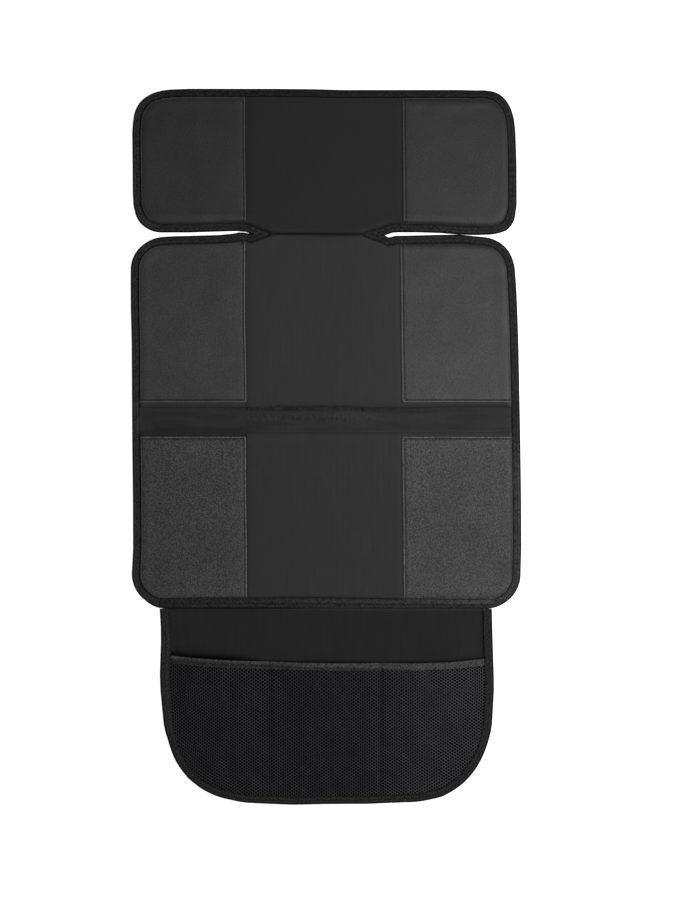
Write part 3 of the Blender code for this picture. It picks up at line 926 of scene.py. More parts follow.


# %% [markdown]
# ## The fold band and its painted shade
#
# Across the seat section runs a band without foam, where the mat folds. Its cloth is slack, so it
# lies in long creases and gathers at its rear seam. Its long creases are waves in the mesh. The
# gathers are finer than any mesh here, so the cloth's finish draws them as bumps with painted shade
# in their folds, wherever the wrinkle value says so. The tone value holds painted shade in the fold
# band, in the crease and beside the seams and the leather, and painted light beside the tape.


# %% fold band
def in_band(part, points):
    """How far each point lies inside the fold band's seams. It is 0 outside the band."""
    if part == "head":
        return np.zeros(len(points))
    y = points[:, 1]
    depth = np.minimum(Y_FOLD_REAR - y, y - Y_FOLD_FRONT)
    depth = np.minimum(depth, distance(LINES[part], points) - TAPE_WIDTH)
    return np.maximum(depth, 0)


def pleats(flat):
    """How gathered the cloth is along the fold, and long creases that run along the band."""
    x, y = flat.T
    along = np.c_[x, np.zeros(len(x))]
    patchy = smooth(0.55 + 1.2 * waves(along, 50 * MM, 12)) * near(np.abs(x) - 80 * MM, 50 * MM)
    at_seam = near(np.abs(y - Y_FOLD_REAR + 0.5 * MM), 4.5 * MM) * (0.35 + 0.65 * patchy)
    further = near(np.abs(y - Y_FOLD_REAR + 13 * MM), 7 * MM) * patchy
    gathered = (at_seam + 0.6 * further) * near(np.abs(x) - 130 * MM, 40 * MM)
    creases = waves(flat * np.array([0.12, 1.0]), 8 * MM, 8, 3)
    return gathered, creases


def hill(distance, reach):
    """1 at a line, and down to almost nothing at twice the reach."""
    return np.exp(-((distance / reach) ** 2))


def column_tone(x):
    """How much darker the cloth is beside the leather: it is shaded on the left, lit on the right."""
    column = COLUMN_HALF - np.abs(x)
    left, right, bare = x < 0, x > 0, column > 0
    tone = (0.55 * left + 0.10 * right) * hill(column, 1.1 * MM) * bare
    tone += 0.18 * left * bare * near(column, 9 * MM)
    return tone - 0.16 * right * near(np.abs(column - 2.8 * MM), 2 * MM)


def seam_and_fold_shading(part, flat, band):
    """Painted shade in the fold band, in the crease and along the seams, and painted light beside the
    tape.
    """
    x, y = flat.T
    beside = np.abs(y - Y_CREASE)
    # Painted shade in the crease, and painted light a little above it on the head flap.
    tone = 1 - 0.95 * near(beside, 2.0 * MM)
    tone += 0.15 * near(np.abs(beside - 5 * MM), 4 * MM) * (part == "head")
    tone -= column_tone(x) * near(band, 1 * MM)
    rim = np.maximum(distance(LINES[part], flat) - TAPE_WIDTH - GAP, 0)
    # Painted light beside the tape, where the cover slopes down to it.
    tone += 0.45 * hill(rim, 3 * MM)
    if part == "seat":
        # Painted light and shade along the fold band's seams, painted shade below the band at the
        # front-left leather's edge, and painted shade in the band itself, darker to the left and towards
        # the front, with painted light and shade on its creases.
        creases = pleats(flat)[1]
        middle = near(np.abs(x) - 75 * MM, 35 * MM)
        rear = near(np.abs(y - Y_FOLD_REAR + 1 * MM), 3 * MM) * (0.36 * middle - 0.05)
        left, right = smooth((-x - 40 * MM) / (90 * MM)), smooth((x - 40 * MM) / (60 * MM))
        front = near(np.abs(y - Y_FOLD_FRONT), (3 + 5 * left) * MM) * (0.50 * left - 0.10 * right - 0.30)
        below = near(np.abs(y - Y_FRONT_PANEL_END - 1.2 * MM), 3.2 * MM)
        below *= smooth((-x - COLUMN_HALF) / (3 * MM) + 0.5)
        inner = smooth(band / (1.5 * MM))
        tone -= rear + front + 0.62 * below
        tone -= inner * (0.19 - 0.18 * creases + 0.12 * left)
        tone -= 0.08 * smooth((Y_FOLD_FRONT - y) / (20 * MM))
    return tone


# %% cover maker
MOST_SWELL = 1.5 * MM
PRESSURE = 1.2
FOAM_HOLD = 0.12
PADDED_GROWTH = 0.3


def make_cover(part, spacing=4.5 * MM):
    """A cover's flat mesh, the heights of its face and of its backing, and its tone."""
    flat, faces = fill(cover_outline(part), cover_lines(part), spacing)
    depth = seam_depth(part, flat)
    band = in_band(part, flat)
    base = floor_height(part, flat)
    height = base + SEWN + crown(depth)
    height += 0.25 * MM * waves(flat, 26 * MM, 5) * near(depth, 40 * MM) * smooth(depth / (4 * MM))
    pins = np.where((depth <= 0) & (band <= 0), 1.0, np.where(band > 0, 0.0, FOAM_HOLD))
    grow = np.where(band > 0, 1.0, PADDED_GROWTH)
    if part == "seat":
        gathered, creases = pleats(flat)
        height += smooth(band / (3 * MM)) * (0.6 + 0.8 * creases) * MM
        height -= 0.3 * MM * gathered * (depth > 0)
    start = mesh_object("cover_start", np.c_[flat, height], faces)
    moved = simulate(start, pins, grow, PRESSURE)
    bpy.data.objects.remove(start, do_unlink=True)
    step = moved - np.c_[flat, height]
    far = np.linalg.norm(step, axis=1)
    print(part, "cover moved", round(far.max() / MM, 2), "mm at most,", round(far.mean() / MM, 2), "mean")
    step *= np.minimum(1, MOST_SWELL / np.maximum(far, 1e-9))[:, None]
    top = np.maximum(height + step[:, 2], base + SEWN)
    return flat, faces, top, base, seam_and_fold_shading(part, flat, band)


# %% [markdown]
# ## Laying the covers
#
# The covers are made once and kept, because the leather and the stitches lie on them. A ray from
# above finds the cover's height anywhere. It could be worked out from the seams again, but then it
# would miss what the simulation did.

# %% covers
COVERS = {part: make_cover(part) for part in ("head", "seat")}
TREES = {}
for part, (flat, faces, top, base, seam_shade) in COVERS.items():
    TREES[part] = BVHTree.FromPolygons([Vector(p) for p in np.c_[flat, top]], faces.tolist())


def cover_height(part, points):
    """The cover's height under each point, before the cloth lies askew."""
    found = []
    for x, y in points:
        hit = TREES[part].ray_cast(Vector((x, y, 1)), Vector((0, 0, -1)))[0]
        if hit is None:
            hit = TREES[part].find_nearest(Vector((x, y, SEWN)))[0]
        found.append(hit.z)
    return np.array(found)


HIDDEN_UNDER = {"head": ("head_cloth", "head_foam"), "seat": ("seat_cloth", "rear_foam", "front_foam")}
for part, finish in (("head", HEAD_CLOTH), ("seat", SEAT_CLOTH)):
    flat, faces, top, base, seam_shade = COVERS[part]
    inside_face = base + BACKING_CLOTH
    cover = closed_layer(f"{part}_cover", part, flat, faces, top, inside_face + GAP, seam_shade)
    note_wrinkles(cover, pleats(flat)[0] * (part == "seat"))
    piece(cover, finish, "face_cloth", *HIDDEN_UNDER[part])
    backing = closed_layer(f"{part}_underside", part, flat, faces, inside_face, base)
    piece(backing, BACKING, "backing", f"{part}_backing")

# %% [markdown]
# ## Leather patches
#
# Each patch is a piece of thin leather laid on the cover. Its inner edges are turned under, so they
# stand up as a soft roll, and a row of stitches 3 mm in pulls a groove beside it. Its outer edges
# run under the tape. It could be folded by a simulation, but a roll of 1 mm would need a very fine
# mesh to fold at all. So one curve gives the roll and the groove by their distance from the edge,
# and the patch takes its height from the cover below it, wherever that has swollen. The levels are
# painted light and shade: how much lighter or darker the leather is painted, against the places
# along the mat in millimetres.

# %% leather patches
ROLL_AT = np.array([0, 0.15, 0.45, 1.0, 1.7, 2.3, 2.8, 3.1, 3.5, 4.2, 5.5, 7.0]) * MM
ROLL_HEIGHT = np.array([-0.95, -0.45, 0.0, 0.30, 0.22, -0.05, -0.38, -0.45, -0.30, -0.08, 0, 0]) * MM
STITCH_IN = 3.1 * MM
STITCH_PITCH = 4.6 * MM
PATCH_RINGS = (0.15, 0.45, 1.0, 1.7, 2.3, 2.8, 3.1, 3.5, 4.2, 5.5)
PATCH_LIGHT_LEVELS = {
    "head_patch_left": ((265, 0.02), (330, 0.0), (400, -0.08), (434, -0.12)),
    "head_patch_right": ((265, 0.14), (300, 0.10), (350, 0.0), (400, -0.08), (434, -0.15)),
    "rear_patch_left": ((55, 0.02), (200, 0.0), (250, -0.08)),
    "rear_patch_right": ((55, 0.04), (190, 0.0), (250, -0.12)),
    "front_patch_left": ((-194, 0.0), (13, 0.0)),
    "front_patch_right": ((-194, 0.38), (-182, 0.22), (-160, 0.06), (-120, 0.0), (13, 0.03)),
}
COLUMN_SIDE_LIGHT = {"front_patch_left": 0.15, "front_patch_right": 0.12, "rear_patch_right": 0.10}


def read_level(table, at):
    """A table's level at each place. The table is in millimetres, and the places are in metres."""
    places, levels = np.array(table).T
    return np.interp(at, places * MM, levels)


def patch_edges(part, side, y_from, y_to):
    """The turned edges of a patch as lines: down the column, and along the fold if it has that edge."""
    low = y_from if y_from is not None else (Y_CREASE if part == "head" else Y_FRONT)
    high = y_to if y_to is not None else (Y_REAR if part == "head" else Y_CREASE)
    edges = [np.array([(side * COLUMN_HALF, low), (side * COLUMN_HALF, high)])]
    far = side * (HALF[part] + 10 * MM)
    for y in (y_from, y_to):
        if y is not None:
            edges.append(np.array([(side * COLUMN_HALF, y), (far, y)]))
    return edges


def patch_ring(side, inset, part, y_from, y_to):
    """A line at one distance inside the turned edges, with a sharp corner."""
    x = side * (COLUMN_HALF + inset)
    far = side * (HALF[part] - 3 * MM)
    top = Y_REAR - 3 * MM if part == "head" else Y_CREASE - SLIT / 2 - 3 * MM
    bottom = Y_CREASE + SLIT / 2 + 3 * MM if part == "head" else Y_FRONT + 3 * MM
    if y_from is not None:
        corners = [(x, top), (x, y_from + inset), (far, y_from + inset)]
    elif y_to is not None:
        corners = [(x, bottom), (x, y_to - inset), (far, y_to - inset)]
    else:
        corners = [(x, bottom), (x, top)]
    return even_steps(corners, 1.15 * MM if 2 < inset / MM < 4 else 2.3 * MM)


def rim_runs(part, outline, side, y_from, y_to):
    """Lines along the tape, where the cover rises steeply, kept clear of the turned edges."""
    runs = []
    for run_in in TAPE_STEPS:
        line = even_steps(LINES[part] + INWARD[part] * (TAPE_WIDTH + GAP + run_in * MM), 3 * MM)
        keep = inside(outline, line) & (line[:, 0] * side > COLUMN_HALF + 6.5 * MM)
        keep &= np.abs(line[:, 1] - crease_of(part)) > 4 * MM
        if y_from is not None:
            keep &= line[:, 1] > y_from + 6.5 * MM
        if y_to is not None:
            keep &= line[:, 1] < y_to - 6.5 * MM
        starts = np.flatnonzero(np.diff(np.r_[0, keep.astype(int)]) == 1)
        ends = np.flatnonzero(np.diff(np.r_[keep.astype(int), 0]) == -1)
        runs += [line[a : b + 1] for a, b in zip(starts, ends) if b - a > 2]
    return runs


def make_patch(name, part, side, finish, node_name, y_from=None, y_to=None):
    outline = clip(cover_outline(part), 0, side * COLUMN_HALF, side > 0)
    if y_from is not None:
        outline = clip(outline, 1, y_from, True)
    if y_to is not None:
        outline = clip(outline, 1, y_to, False)
    outline = even_outline(outline, 2.3 * MM)
    rings = [patch_ring(side, inset * MM, part, y_from, y_to) for inset in PATCH_RINGS]
    rings = [ring[inside(outline, ring)] for ring in rings]
    rings += rim_runs(part, outline, side, y_from, y_to)
    flat, faces = fill(outline, rings, 4.5 * MM)
    edges = patch_edges(part, side, y_from, y_to)
    inset = np.min([distance(edge, flat) for edge in edges], axis=0)
    under = cover_height(part, flat) + GAP
    groove = np.interp(inset, ROLL_AT, ROLL_HEIGHT)
    groove += 0.10 * MM * waves(flat, 22 * MM, 9) * smooth(inset / (8 * MM))
    top = under + LEATHER + groove
    # Painted shade along the stitched groove. The turned edge is lighter: partly the edge's own paler wear
    # and partly a painted highlight on its roll.
    seam = hill(inset - STITCH_IN, 0.7 * MM)
    edge_wear_and_highlight = hill(inset - 0.75 * MM, 0.6 * MM)
    rim = np.maximum(distance(LINES[part], flat) - TAPE_WIDTH - GAP, 0)
    slit_side = near(rim, 17 * MM) * near(np.abs(flat[:, 1] - Y_CREASE), 34 * MM)
    strength = 1.0 if part == "head" and side > 0 else 0.4
    # Painted light and shade along the tape: lighter on the left patches and darker on the right, and
    # painted light beside the slits, strongest on the head's right patch. The waves are random tone.
    rim_light = (0.62 if side < 0 else -0.14) + slit_side * strength
    tone = 1 + 2.1 * edge_wear_and_highlight - 0.55 * seam + rim_light * hill(rim, 4.0 * MM)
    tone += 0.13 * waves(flat, 40 * MM, 19) + 0.35 * slit_side * strength
    # Painted light on the right-hand patches' swell beside the turned edge, and painted shade close to the
    # tape.
    if side > 0:
        tone += 0.2 * near(np.abs(inset - 5.5 * MM), 3 * MM) - 0.2 * near(np.abs(rim - 3.6 * MM), 2 * MM)
    # Painted light and shade along the mat, and painted light near the turned edges of some patches.
    tone += read_level(PATCH_LIGHT_LEVELS[name], flat[:, 1])
    tone += COLUMN_SIDE_LIGHT.get(name, 0.0) * near(inset, 40 * MM)
    # Painted light along the front tape, strongest on the right.
    if y_to is not None:
        front_rim = near(rim, 7 * MM) * smooth((-150 * MM - flat[:, 1]) / (20 * MM))
        tone += (0.8 if side > 0 else 0.35) * front_rim
    wrinkle = strength * (1.4 * slit_side + 0.5 * smooth(waves(flat, 45 * MM, 29) * 1.5))
    made = closed_layer(name, part, flat, faces, top, under, tone, tips=False)
    note_wrinkles(made, wrinkle)
    piece(made, finish, "leather", node_name)
    return made


for side, word in ((-1, "left"), (1, "right")):
    make_patch(f"head_patch_{word}", "head", side, HEAD_LEATHER, f"head_leather_{word}")
    make_patch(
        f"rear_patch_{word}", "seat", side, REAR_LEATHER, f"rear_leather_{word}", y_from=Y_REAR_PANEL_END
    )
    make_patch(
        f"front_patch_{word}", "seat", side, FRONT_LEATHER, f"front_leather_{word}", y_to=Y_FRONT_PANEL_END
    )

# %% [markdown]
# ## Edge tape
#
# The tape is about 21 mm of twill, folded round the raw edge of all the layers and sewn through
# once. It is soft, so it rounds over the edge, dips where the stitches hold it, and its inner border
# wanders by half a millimetre. A curve with a bevel would give a round pipe of one height. A profile
# of the folded strip, swept along the edge line, keeps the fold, the dip and the flat upper leg. The
# section's pairs are the distance from the edge and the height over the layers' top. The tape's lines
# are painted light and shade: each is a distance from the edge, a width and how much lighter the
# tape is painted there.

# %% edge tape
TAPE_SECTION = (
    (10.0, -0.25), (9.4, -0.02), (8.7, -0.10), (8.2, -0.38), (7.7, -0.12), (6.6, 0.06), (5.6, 0.08),
    (4.7, -0.08), (3.8, 0.0), (2.9, -0.12), (1.9, -0.55), (1.1, -1.15), (0.35, -1.95),
)
TAPE_SHADE_LINES = ((0.0, 2.0, -0.92), (3.2, 0.9, 0.45), (4.9, 0.8, -0.42), (6.6, 1.0, 0.22), (9.7, 1.0, -0.35))


def tape_profile(height):
    """The folded strip's outline as (inset, height) pairs: over the top, round the nose, back below."""
    upper = [(s, height / MM + z) for s, z in TAPE_SECTION]
    nose = [(0.0, height / MM / 2)]
    lower = [(s, -min(z, 0.0) if s < 4 else 0.0) for s, z in reversed(TAPE_SECTION)]
    inner_low = [(10.0, 0.9), (4.0, 0.9), (2.2, 1.3)]
    inner_high = [(2.2, height / MM - 1.5), (4.0, height / MM - 0.95), (10.0, height / MM - 1.1)]
    return np.array(upper + nose + lower + inner_low + inner_high) * MM


# Painted light along the front tape's upper leg and its inner border, growing to the right.
FRONT_TAPE_LIGHT = (
    (-200, -0.15), (-130, -0.05), (-60, 0.18), (0, 0.40),
    (60, 0.48), (100, 0.62), (165, 1.25), (200, 1.5),
)
FRONT_BORDER_LIGHT = ((-200, 0.9), (-99, 0.9), (-94, 0.2), (94, 0.25), (99, 1.9), (200, 2.5))


def tape_tone(inset, line):
    """Painted shade along the outer fold and the inner border, painted light between, most of all in
    front.
    """
    across = 1 + sum(change * hill(inset - at * MM, wide * MM) for at, wide, change in TAPE_SHADE_LINES)
    x, y = line.T
    front = near(np.abs(y - Y_FRONT), 3 * MM) * (np.abs(x) < HALF["seat"])
    # Painted shade near the rear edge, painted light along the left and right sides.
    level = 1 - 0.26 * near(Y_REAR - y, 20 * MM) + 0.40 * smooth((-x - 190 * MM) / (30 * MM))
    level += 0.75 * smooth((x - 190 * MM) / (30 * MM)) * smooth((30 * MM - y) / (60 * MM)) * (y > Y_FRONT)
    right = smooth((x + 90 * MM) / (260 * MM))[:, None]
    outer = hill(inset, 2 * MM)
    lit = smooth((inset - 4 * MM) / (3 * MM)) * read_level(FRONT_TAPE_LIGHT, x)[:, None]
    lit += smooth((inset - 8.6 * MM) / (1.2 * MM)) * read_level(FRONT_BORDER_LIGHT, x)[:, None]
    lit += outer * (0.3 + 1.1 * smooth(right * 3))
    return level[:, None] * across + front[:, None] * lit


def sweep(name, part, line, direction, profile, lift, seed, cut=None, tone_at=tape_tone):
    """Sweeps a closed profile along a line, and says how wide and long a tape that takes.

    The profile's high side wanders and puckers a little.
    """
    steps = len(line)
    run = np.r_[0, np.cumsum(np.linalg.norm(np.diff(line, axis=0), axis=1))]
    wander = waves(np.c_[run, np.zeros(steps)], 26 * MM, seed)
    pucker = waves(np.c_[run, np.ones(steps)], 5 * MM, seed + 1)
    rings, uv = [], []
    top = profile[:, 1].max()
    across = np.r_[0, np.cumsum(np.linalg.norm(np.diff(profile, axis=0), axis=1))]
    for s, z, v in zip(profile[:, 0], profile[:, 1], across):
        high = smooth((z - top * 0.6) / (top * 0.4))
        reach = smooth((s - 5 * MM) / (5 * MM))
        at = s + high * reach * (0.35 * MM * wander + 0.12 * MM * pucker)
        up = z + high * (0.16 * MM * pucker * (1 - reach * 0.5) + 0.12 * MM * wander)
        place = line + direction * at[:, None]
        rings.append(np.c_[place, up + lift(place)])
        uv.append(np.c_[run, np.full(steps, v)])
    points = np.stack(rings, axis=1)
    count = len(profile)
    index = np.arange(steps * count).reshape(steps, count)
    a, b = index[:-1], index[1:]
    quads = np.stack([a, b, np.roll(b, -1, axis=1), np.roll(a, -1, axis=1)], axis=-1)
    faces = quads.reshape(-1, 4).tolist() + [index[0].tolist(), index[-1][::-1].tolist()]
    tone = tone_at(profile[:, 0], line).ravel()
    made = mesh_object(name, points.reshape(-1, 3), faces, np.stack(uv, axis=1).reshape(-1, 2), tone)
    bm = bmesh.new()
    bm.from_mesh(made.data)
    if cut is not None:
        every = bm.verts[:] + bm.edges[:] + bm.faces[:]
        found = bmesh.ops.bisect_plane(
            bm, geom=every, plane_co=(0, cut[0], 0), plane_no=(0, cut[1], 0), clear_outer=True
        )
        open_edges = [e for e in found["geom_cut"] if isinstance(e, bmesh.types.BMEdge)]
        bmesh.ops.holes_fill(bm, edges=open_edges, sides=0)
    bmesh.ops.recalc_face_normals(bm, faces=bm.faces)
    bm.to_mesh(made.data)
    bm.free()
    flat = np.array([v.co for v in made.data.vertices])
    flat[:, :2] = lie(part, flat[:, :2])
    made.data.vertices.foreach_set("co", flat.ravel().astype(np.float32))
    made.data.update()
    made.data.shade_smooth()
    step = np.linalg.norm(line[1] - line[0])
    kept = run[-1] if cut is None else step * ((line[:, 1] - cut[0]) * cut[1] < 0).sum()
    width = np.linalg.norm(np.diff(np.vstack([profile, profile[:1]]), axis=0), axis=1).sum() / 2
    return made, (width, kept)


def rise_of(part):
    """A section's lift as a function of the place alone, as sweep wants it."""
    return lambda place: front_rise(part, place)


for part, height, seed in (("head", MAT_EDGE, 11), ("seat", MAT_EDGE, 21), ("flap", FLAP_EDGE, 31)):
    cut = None
    if part != "flap":
        cut = (crease_of(part), -1 if part == "head" else 1)
    name, profile = f"{part}_edge_tape", tape_profile(height)
    made, cut_size = sweep(name, part, LINES[part], INWARD[part], profile, rise_of(part), seed, cut)
    piece(made, EDGE_TAPE, "edge_tape", f"{part}_binding")

# %% [markdown]
# ## Front flap
#
# The flap is one layer of thin woven cloth, with nothing to stiffen it. Its top runs under the seat
# section's front tape. It lies nearly flat, with a few shallow waves that die out at its sewn edges.
# There is so little to them that a simulation isn't worth its time, so they are moved by the wave
# helper. Its tone is painted shade, darkest behind the net and in the net's shadow above the hem,
# and painted light where it comes out under the front tape.

# %% front flap
flap_outline = LINES["flap"] + INWARD["flap"] * COVER_INSET
tab = HALF["flap"] - TAPE_WIDTH - 1.1 * MM
side_y = flap_outline[0][1]
flap_outline = np.vstack(
    [flap_outline, [(-tab, side_y), (-tab, Y_FRONT + 10 * MM), (tab, Y_FRONT + 10 * MM), (tab, side_y)]]
)
x = np.linspace(-HALF["flap"] + 4 * MM, HALF["flap"] - 4 * MM, 130)
mouth = [np.c_[x, hem_line(x) + up * MM] for up in (-4, 0, 1.5, 3, 5, 8)]
x = np.linspace(-tab + 3 * MM, tab - 3 * MM, 130)
foot = [np.c_[x, np.full(len(x), Y_FRONT - at * MM)] for at in (0.0, 0.9, 1.9, 3.0)]
flat, faces = fill(even_outline(flap_outline, 3 * MM), mouth + foot, 6 * MM)
still = np.minimum(distance(LINES["flap"], flat) - TAPE_WIDTH, Y_FRONT - flat[:, 1])
wave = (0.5 + 0.5 * waves(flat, 60 * MM, 3)) * smooth(still / (25 * MM)) * 0.35 * MM
flap_z = FLAP_EDGE - 3.7 * MM
# Painted shade inside the pocket and in the net's shadow above the hem, and painted light at the foot of
# the front tape.
in_pocket = smooth((hem_line(flat[:, 0]) - 2 * MM - flat[:, 1]) / (6 * MM))
above = np.maximum(flat[:, 1] - hem_line(flat[:, 0]), 0)
left = smooth((-flat[:, 0] - 70 * MM) / (60 * MM))
in_shade = hill(above, (1.8 + 4.5 * left) * MM)
tone = 1 - 0.92 * in_pocket - (1 - in_pocket) * (0.75 + 0.2 * left) * in_shade
lit_foot = 2.0 - 1.4 * smooth((-flat[:, 0] - 20 * MM) / (110 * MM))
tone += lit_foot * near(Y_FRONT - flat[:, 1], 2.8 * MM)
flap_top = flap_z + FLAP_CLOTH_THICKNESS + wave
made = closed_layer("flap_panel", "flap", flat, faces, flap_top, flap_z + wave, tone)
piece(made, FLAP_CLOTH, "flap_cloth", "flap_cloth")

# %% [markdown]
# ## Net pocket
#
# The net is knitted with six-sided holes, 5.5 mm apart across and 3.8 mm apart down, each row set
# between those of the next. Two rows of stitches divide it into three pockets, and it stands off
# the flap between them. A picture of a net with clear holes would be quicker, but it has no
# thickness, and the holes would be lost in the exported mesh. So every hole is real here: each cell
# is a ring of six strands, highest along the strand's middle, and neighbours share that middle line.

# %% net pocket
HOLE_STEP = np.array([5.54, 3.84]) * MM
HOLE_SHARE = 0.66
SAME_POINT = 0.05 * MM
MIDDLE_HALF, SIDE_HALF = 0.27 * MM, 0.09 * MM
DIVIDER = 67.75 * MM
NET_Z = 3.4 * MM
STAND_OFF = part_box("net_pocket")[1].z - NET_Z - 0.3 * MM
POCKETS = {
    "left": (-HALF["flap"] + TAPE_WIDTH, -DIVIDER),
    "centre": (-DIVIDER, DIVIDER),
    "right": (DIVIDER, HALF["flap"] - TAPE_WIDTH),
}


def flap_end(x, inset):
    """Where the flap ends at each x place, this far inside its edge."""
    past = np.maximum(np.abs(x) - (HALF["flap"] - FLAP_RADIUS), 0)
    radius = FLAP_RADIUS - inset
    return Y_END + inset + radius - np.sqrt(np.maximum(radius**2 - past**2, 0))


def stand_off(x, y):
    """How far the net stands off the flap: most in the middle of each pocket's mouth."""
    bulge = np.zeros(len(x))
    for low, high in POCKETS.values():
        share = np.clip((x - low) / (high - low), 0, 1)
        bulge = np.maximum(bulge, np.sin(math.pi * share))
    end = flap_end(x, TAPE_WIDTH)
    down = np.clip((y - end) / (hem_line(x) - HEM_WIDTH - end), 0, 1)
    ripple = waves(np.c_[x, y * 0.12], 24 * MM, 17) * 0.12
    bulge = np.clip(bulge + ripple * np.minimum(1, bulge * 3), 0, 1.05)
    return STAND_OFF * np.sin(math.pi / 2 * down) * bulge


def net_cells(low, high):
    """Centres of the net's holes between two x places."""
    dx, dy = HOLE_STEP
    rows = np.arange(Y_END, Y_FRONT - HEM_DEPTH, dy / 2)
    centres = []
    for i, y in enumerate(rows):
        x = np.arange(-40, 41) * dx + (i % 2) * dx / 2
        centres.append(np.c_[x, np.full(len(x), y)])
    centres = np.vstack(centres)
    x, y = centres.T
    within = (x >= low) & (x < high) & (np.abs(x) < HALF["flap"] - 5 * MM)
    within &= (y > flap_end(x, 5 * MM)) & (y < hem_line(x) - 2.5 * MM)
    return centres[within]


def net_tone(x, y):
    """The net is darker along the dividers, and painted light makes its right side lighter."""
    beside = np.abs(np.abs(x) - DIVIDER)
    streaks = waves(np.c_[x + 0.3 * y, y * 0.5], 18 * MM, 23)
    return 0.94 + 0.72 * smooth((x - 30 * MM) / (90 * MM)) + 0.15 * streaks - 0.25 * near(beside, 6 * MM)


def make_net(word):
    low, high = POCKETS[word]
    low = low - 10 * MM if word == "left" else low
    high = high + 10 * MM if word == "right" else high
    centres = net_cells(low, high)
    dx, dy = HOLE_STEP
    tip, side, half = (dx * dx + dy * dy) / (4 * dx), (dx * dx - dy * dy) / (4 * dx), dy / 2
    corners = np.array([(tip, 0), (side, half), (-side, half), (-tip, 0), (-side, -half), (side, -half)])
    outer = (centres[:, None] + corners).reshape(-1, 2)
    hole = (centres[:, None] + corners * HOLE_SHARE).reshape(-1, 2)
    key = np.round(outer / SAME_POINT).astype(int)
    _, first, index = np.unique(key, axis=0, return_index=True, return_inverse=True)
    shared = outer[first]
    index = index.reshape(-1, 6)
    n, m = len(shared), len(hole)
    flat = np.vstack([shared, hole])
    mid = NET_Z + stand_off(*flat.T)
    thick = np.r_[np.full(n, MIDDLE_HALF), np.full(m, SIDE_HALF)]
    laid = lie("flap", flat)
    points = np.vstack([np.c_[laid, mid + thick], np.c_[laid, mid - thick]])
    count = n + m
    holes = n + np.arange(m).reshape(-1, 6)
    turned, holes_turned = np.roll(index, -1, axis=1), np.roll(holes, -1, axis=1)
    top = np.stack([index, turned, holes_turned, holes], axis=-1).reshape(-1, 4)
    walls = np.stack([holes, holes_turned, holes_turned + count, holes + count], axis=-1).reshape(-1, 4)
    pairs = np.stack([index, turned], axis=-1).reshape(-1, 2)
    known = {tuple(pair) for pair in pairs.tolist()}
    rim = [(b, a, a + count, b + count) for a, b in known if (b, a) not in known]
    every = top.tolist() + (top[:, ::-1] + count).tolist() + walls.tolist() + rim
    made = mesh_object(f"net_{word}", points, every, tone=np.tile(net_tone(*flat.T), 2))
    piece(made, NET, "net", "net_pocket")


for word in POCKETS:
    make_net(word)

# %% [markdown]
# ## Pocket hem
#
# A narrow tape is folded over the net's upper edge, so that things slide in without catching. It
# sags towards the middle of the mat, stands off the flap as the net does, and is pinned down at the
# two dividers. It is one more folded strip, so the sweep that made the edge tapes makes it too.

# %% pocket hem
hem_half = HALF["flap"] - TAPE_WIDTH - GAP
x = np.linspace(hem_half, -hem_half, 240)
hem = np.c_[x, hem_line(x)]
down = np.tile([0.0, -1.0], (len(x), 1))
HEM_SECTION = np.array(
    [
        (9.0, 1.95), (8.6, 2.15), (7.4, 2.10), (6.9, 1.85), (6.4, 2.10), (4.5, 2.25), (2.0, 2.30),
        (0.7, 2.10), (0.0, 1.2), (0.7, 0.2), (2.0, 0.0), (9.0, 0.0), (9.0, 0.5), (1.5, 0.55),
        (1.5, 1.65), (9.0, 1.55),
    ]
) * MM


def hem_lift(place):
    x = place[:, 0]
    return NET_Z - 1.1 * MM + stand_off(x, hem_line(x) - HEM_WIDTH)


def hem_tone(inset, line):
    """Painted light along its folded upper edge, more narrowly to the left, and again at its lower edge,
    with painted shade between and at the dividers.
    """
    lit = np.interp(line[:, 0], np.array([-150, 0, 130]) * MM, np.array([1.8, 4.6, 7.6]) * MM)
    fold = smooth((inset - lit[:, None]) / (1.2 * MM))
    notch = near(np.abs(np.abs(line[:, 0]) - DIVIDER), 1.6 * MM)[:, None]
    return (1.15 - 0.62 * fold + 0.25 * smooth((inset - 7.6 * MM) / (1 * MM))) * (1 - 0.6 * notch)


made, cut_size = sweep("hem_tape", "flap", hem, down, HEM_SECTION, hem_lift, 41, tone_at=hem_tone)
piece(made, HEM_TAPE, "edge_tape", "pocket_hem")

# %% [markdown]
# ## Stitches
#
# Every seam shows as a row of short threads that come up through the cloth and go down again. They
# could be drawn into the finish, but then they would have no height and no end. So a stitch is a
# small capsule that sinks at both ends. All the rows are made from one stitch, placed along lines
# that were built above, at each seam's own pitch.


# %% stitch helpers
def one_stitch(length, width):
    """A capsule along X whose ends dip, as points and faces."""
    rings, around = 5, 6
    points = []
    for i in range(rings):
        share = i / (rings - 1)
        radius = width / 2 * (0.35 + 0.65 * math.sin(math.pi * share))
        dip = -0.9 * width * (2 * share - 1) ** 2
        for j in range(around):
            angle = 2 * math.pi * j / around
            y, z = radius * math.cos(angle), radius * math.sin(angle) + dip
            points.append((length * (share - 0.5), y, z))
    index = np.arange(rings * around).reshape(rings, around)
    a, b = index[:-1], index[1:]
    quads = np.stack([a, np.roll(a, -1, axis=1), np.roll(b, -1, axis=1), b], axis=-1)
    faces = quads.reshape(-1, 4).tolist() + [index[0][::-1].tolist(), index[-1].tolist()]
    return np.array(points), faces


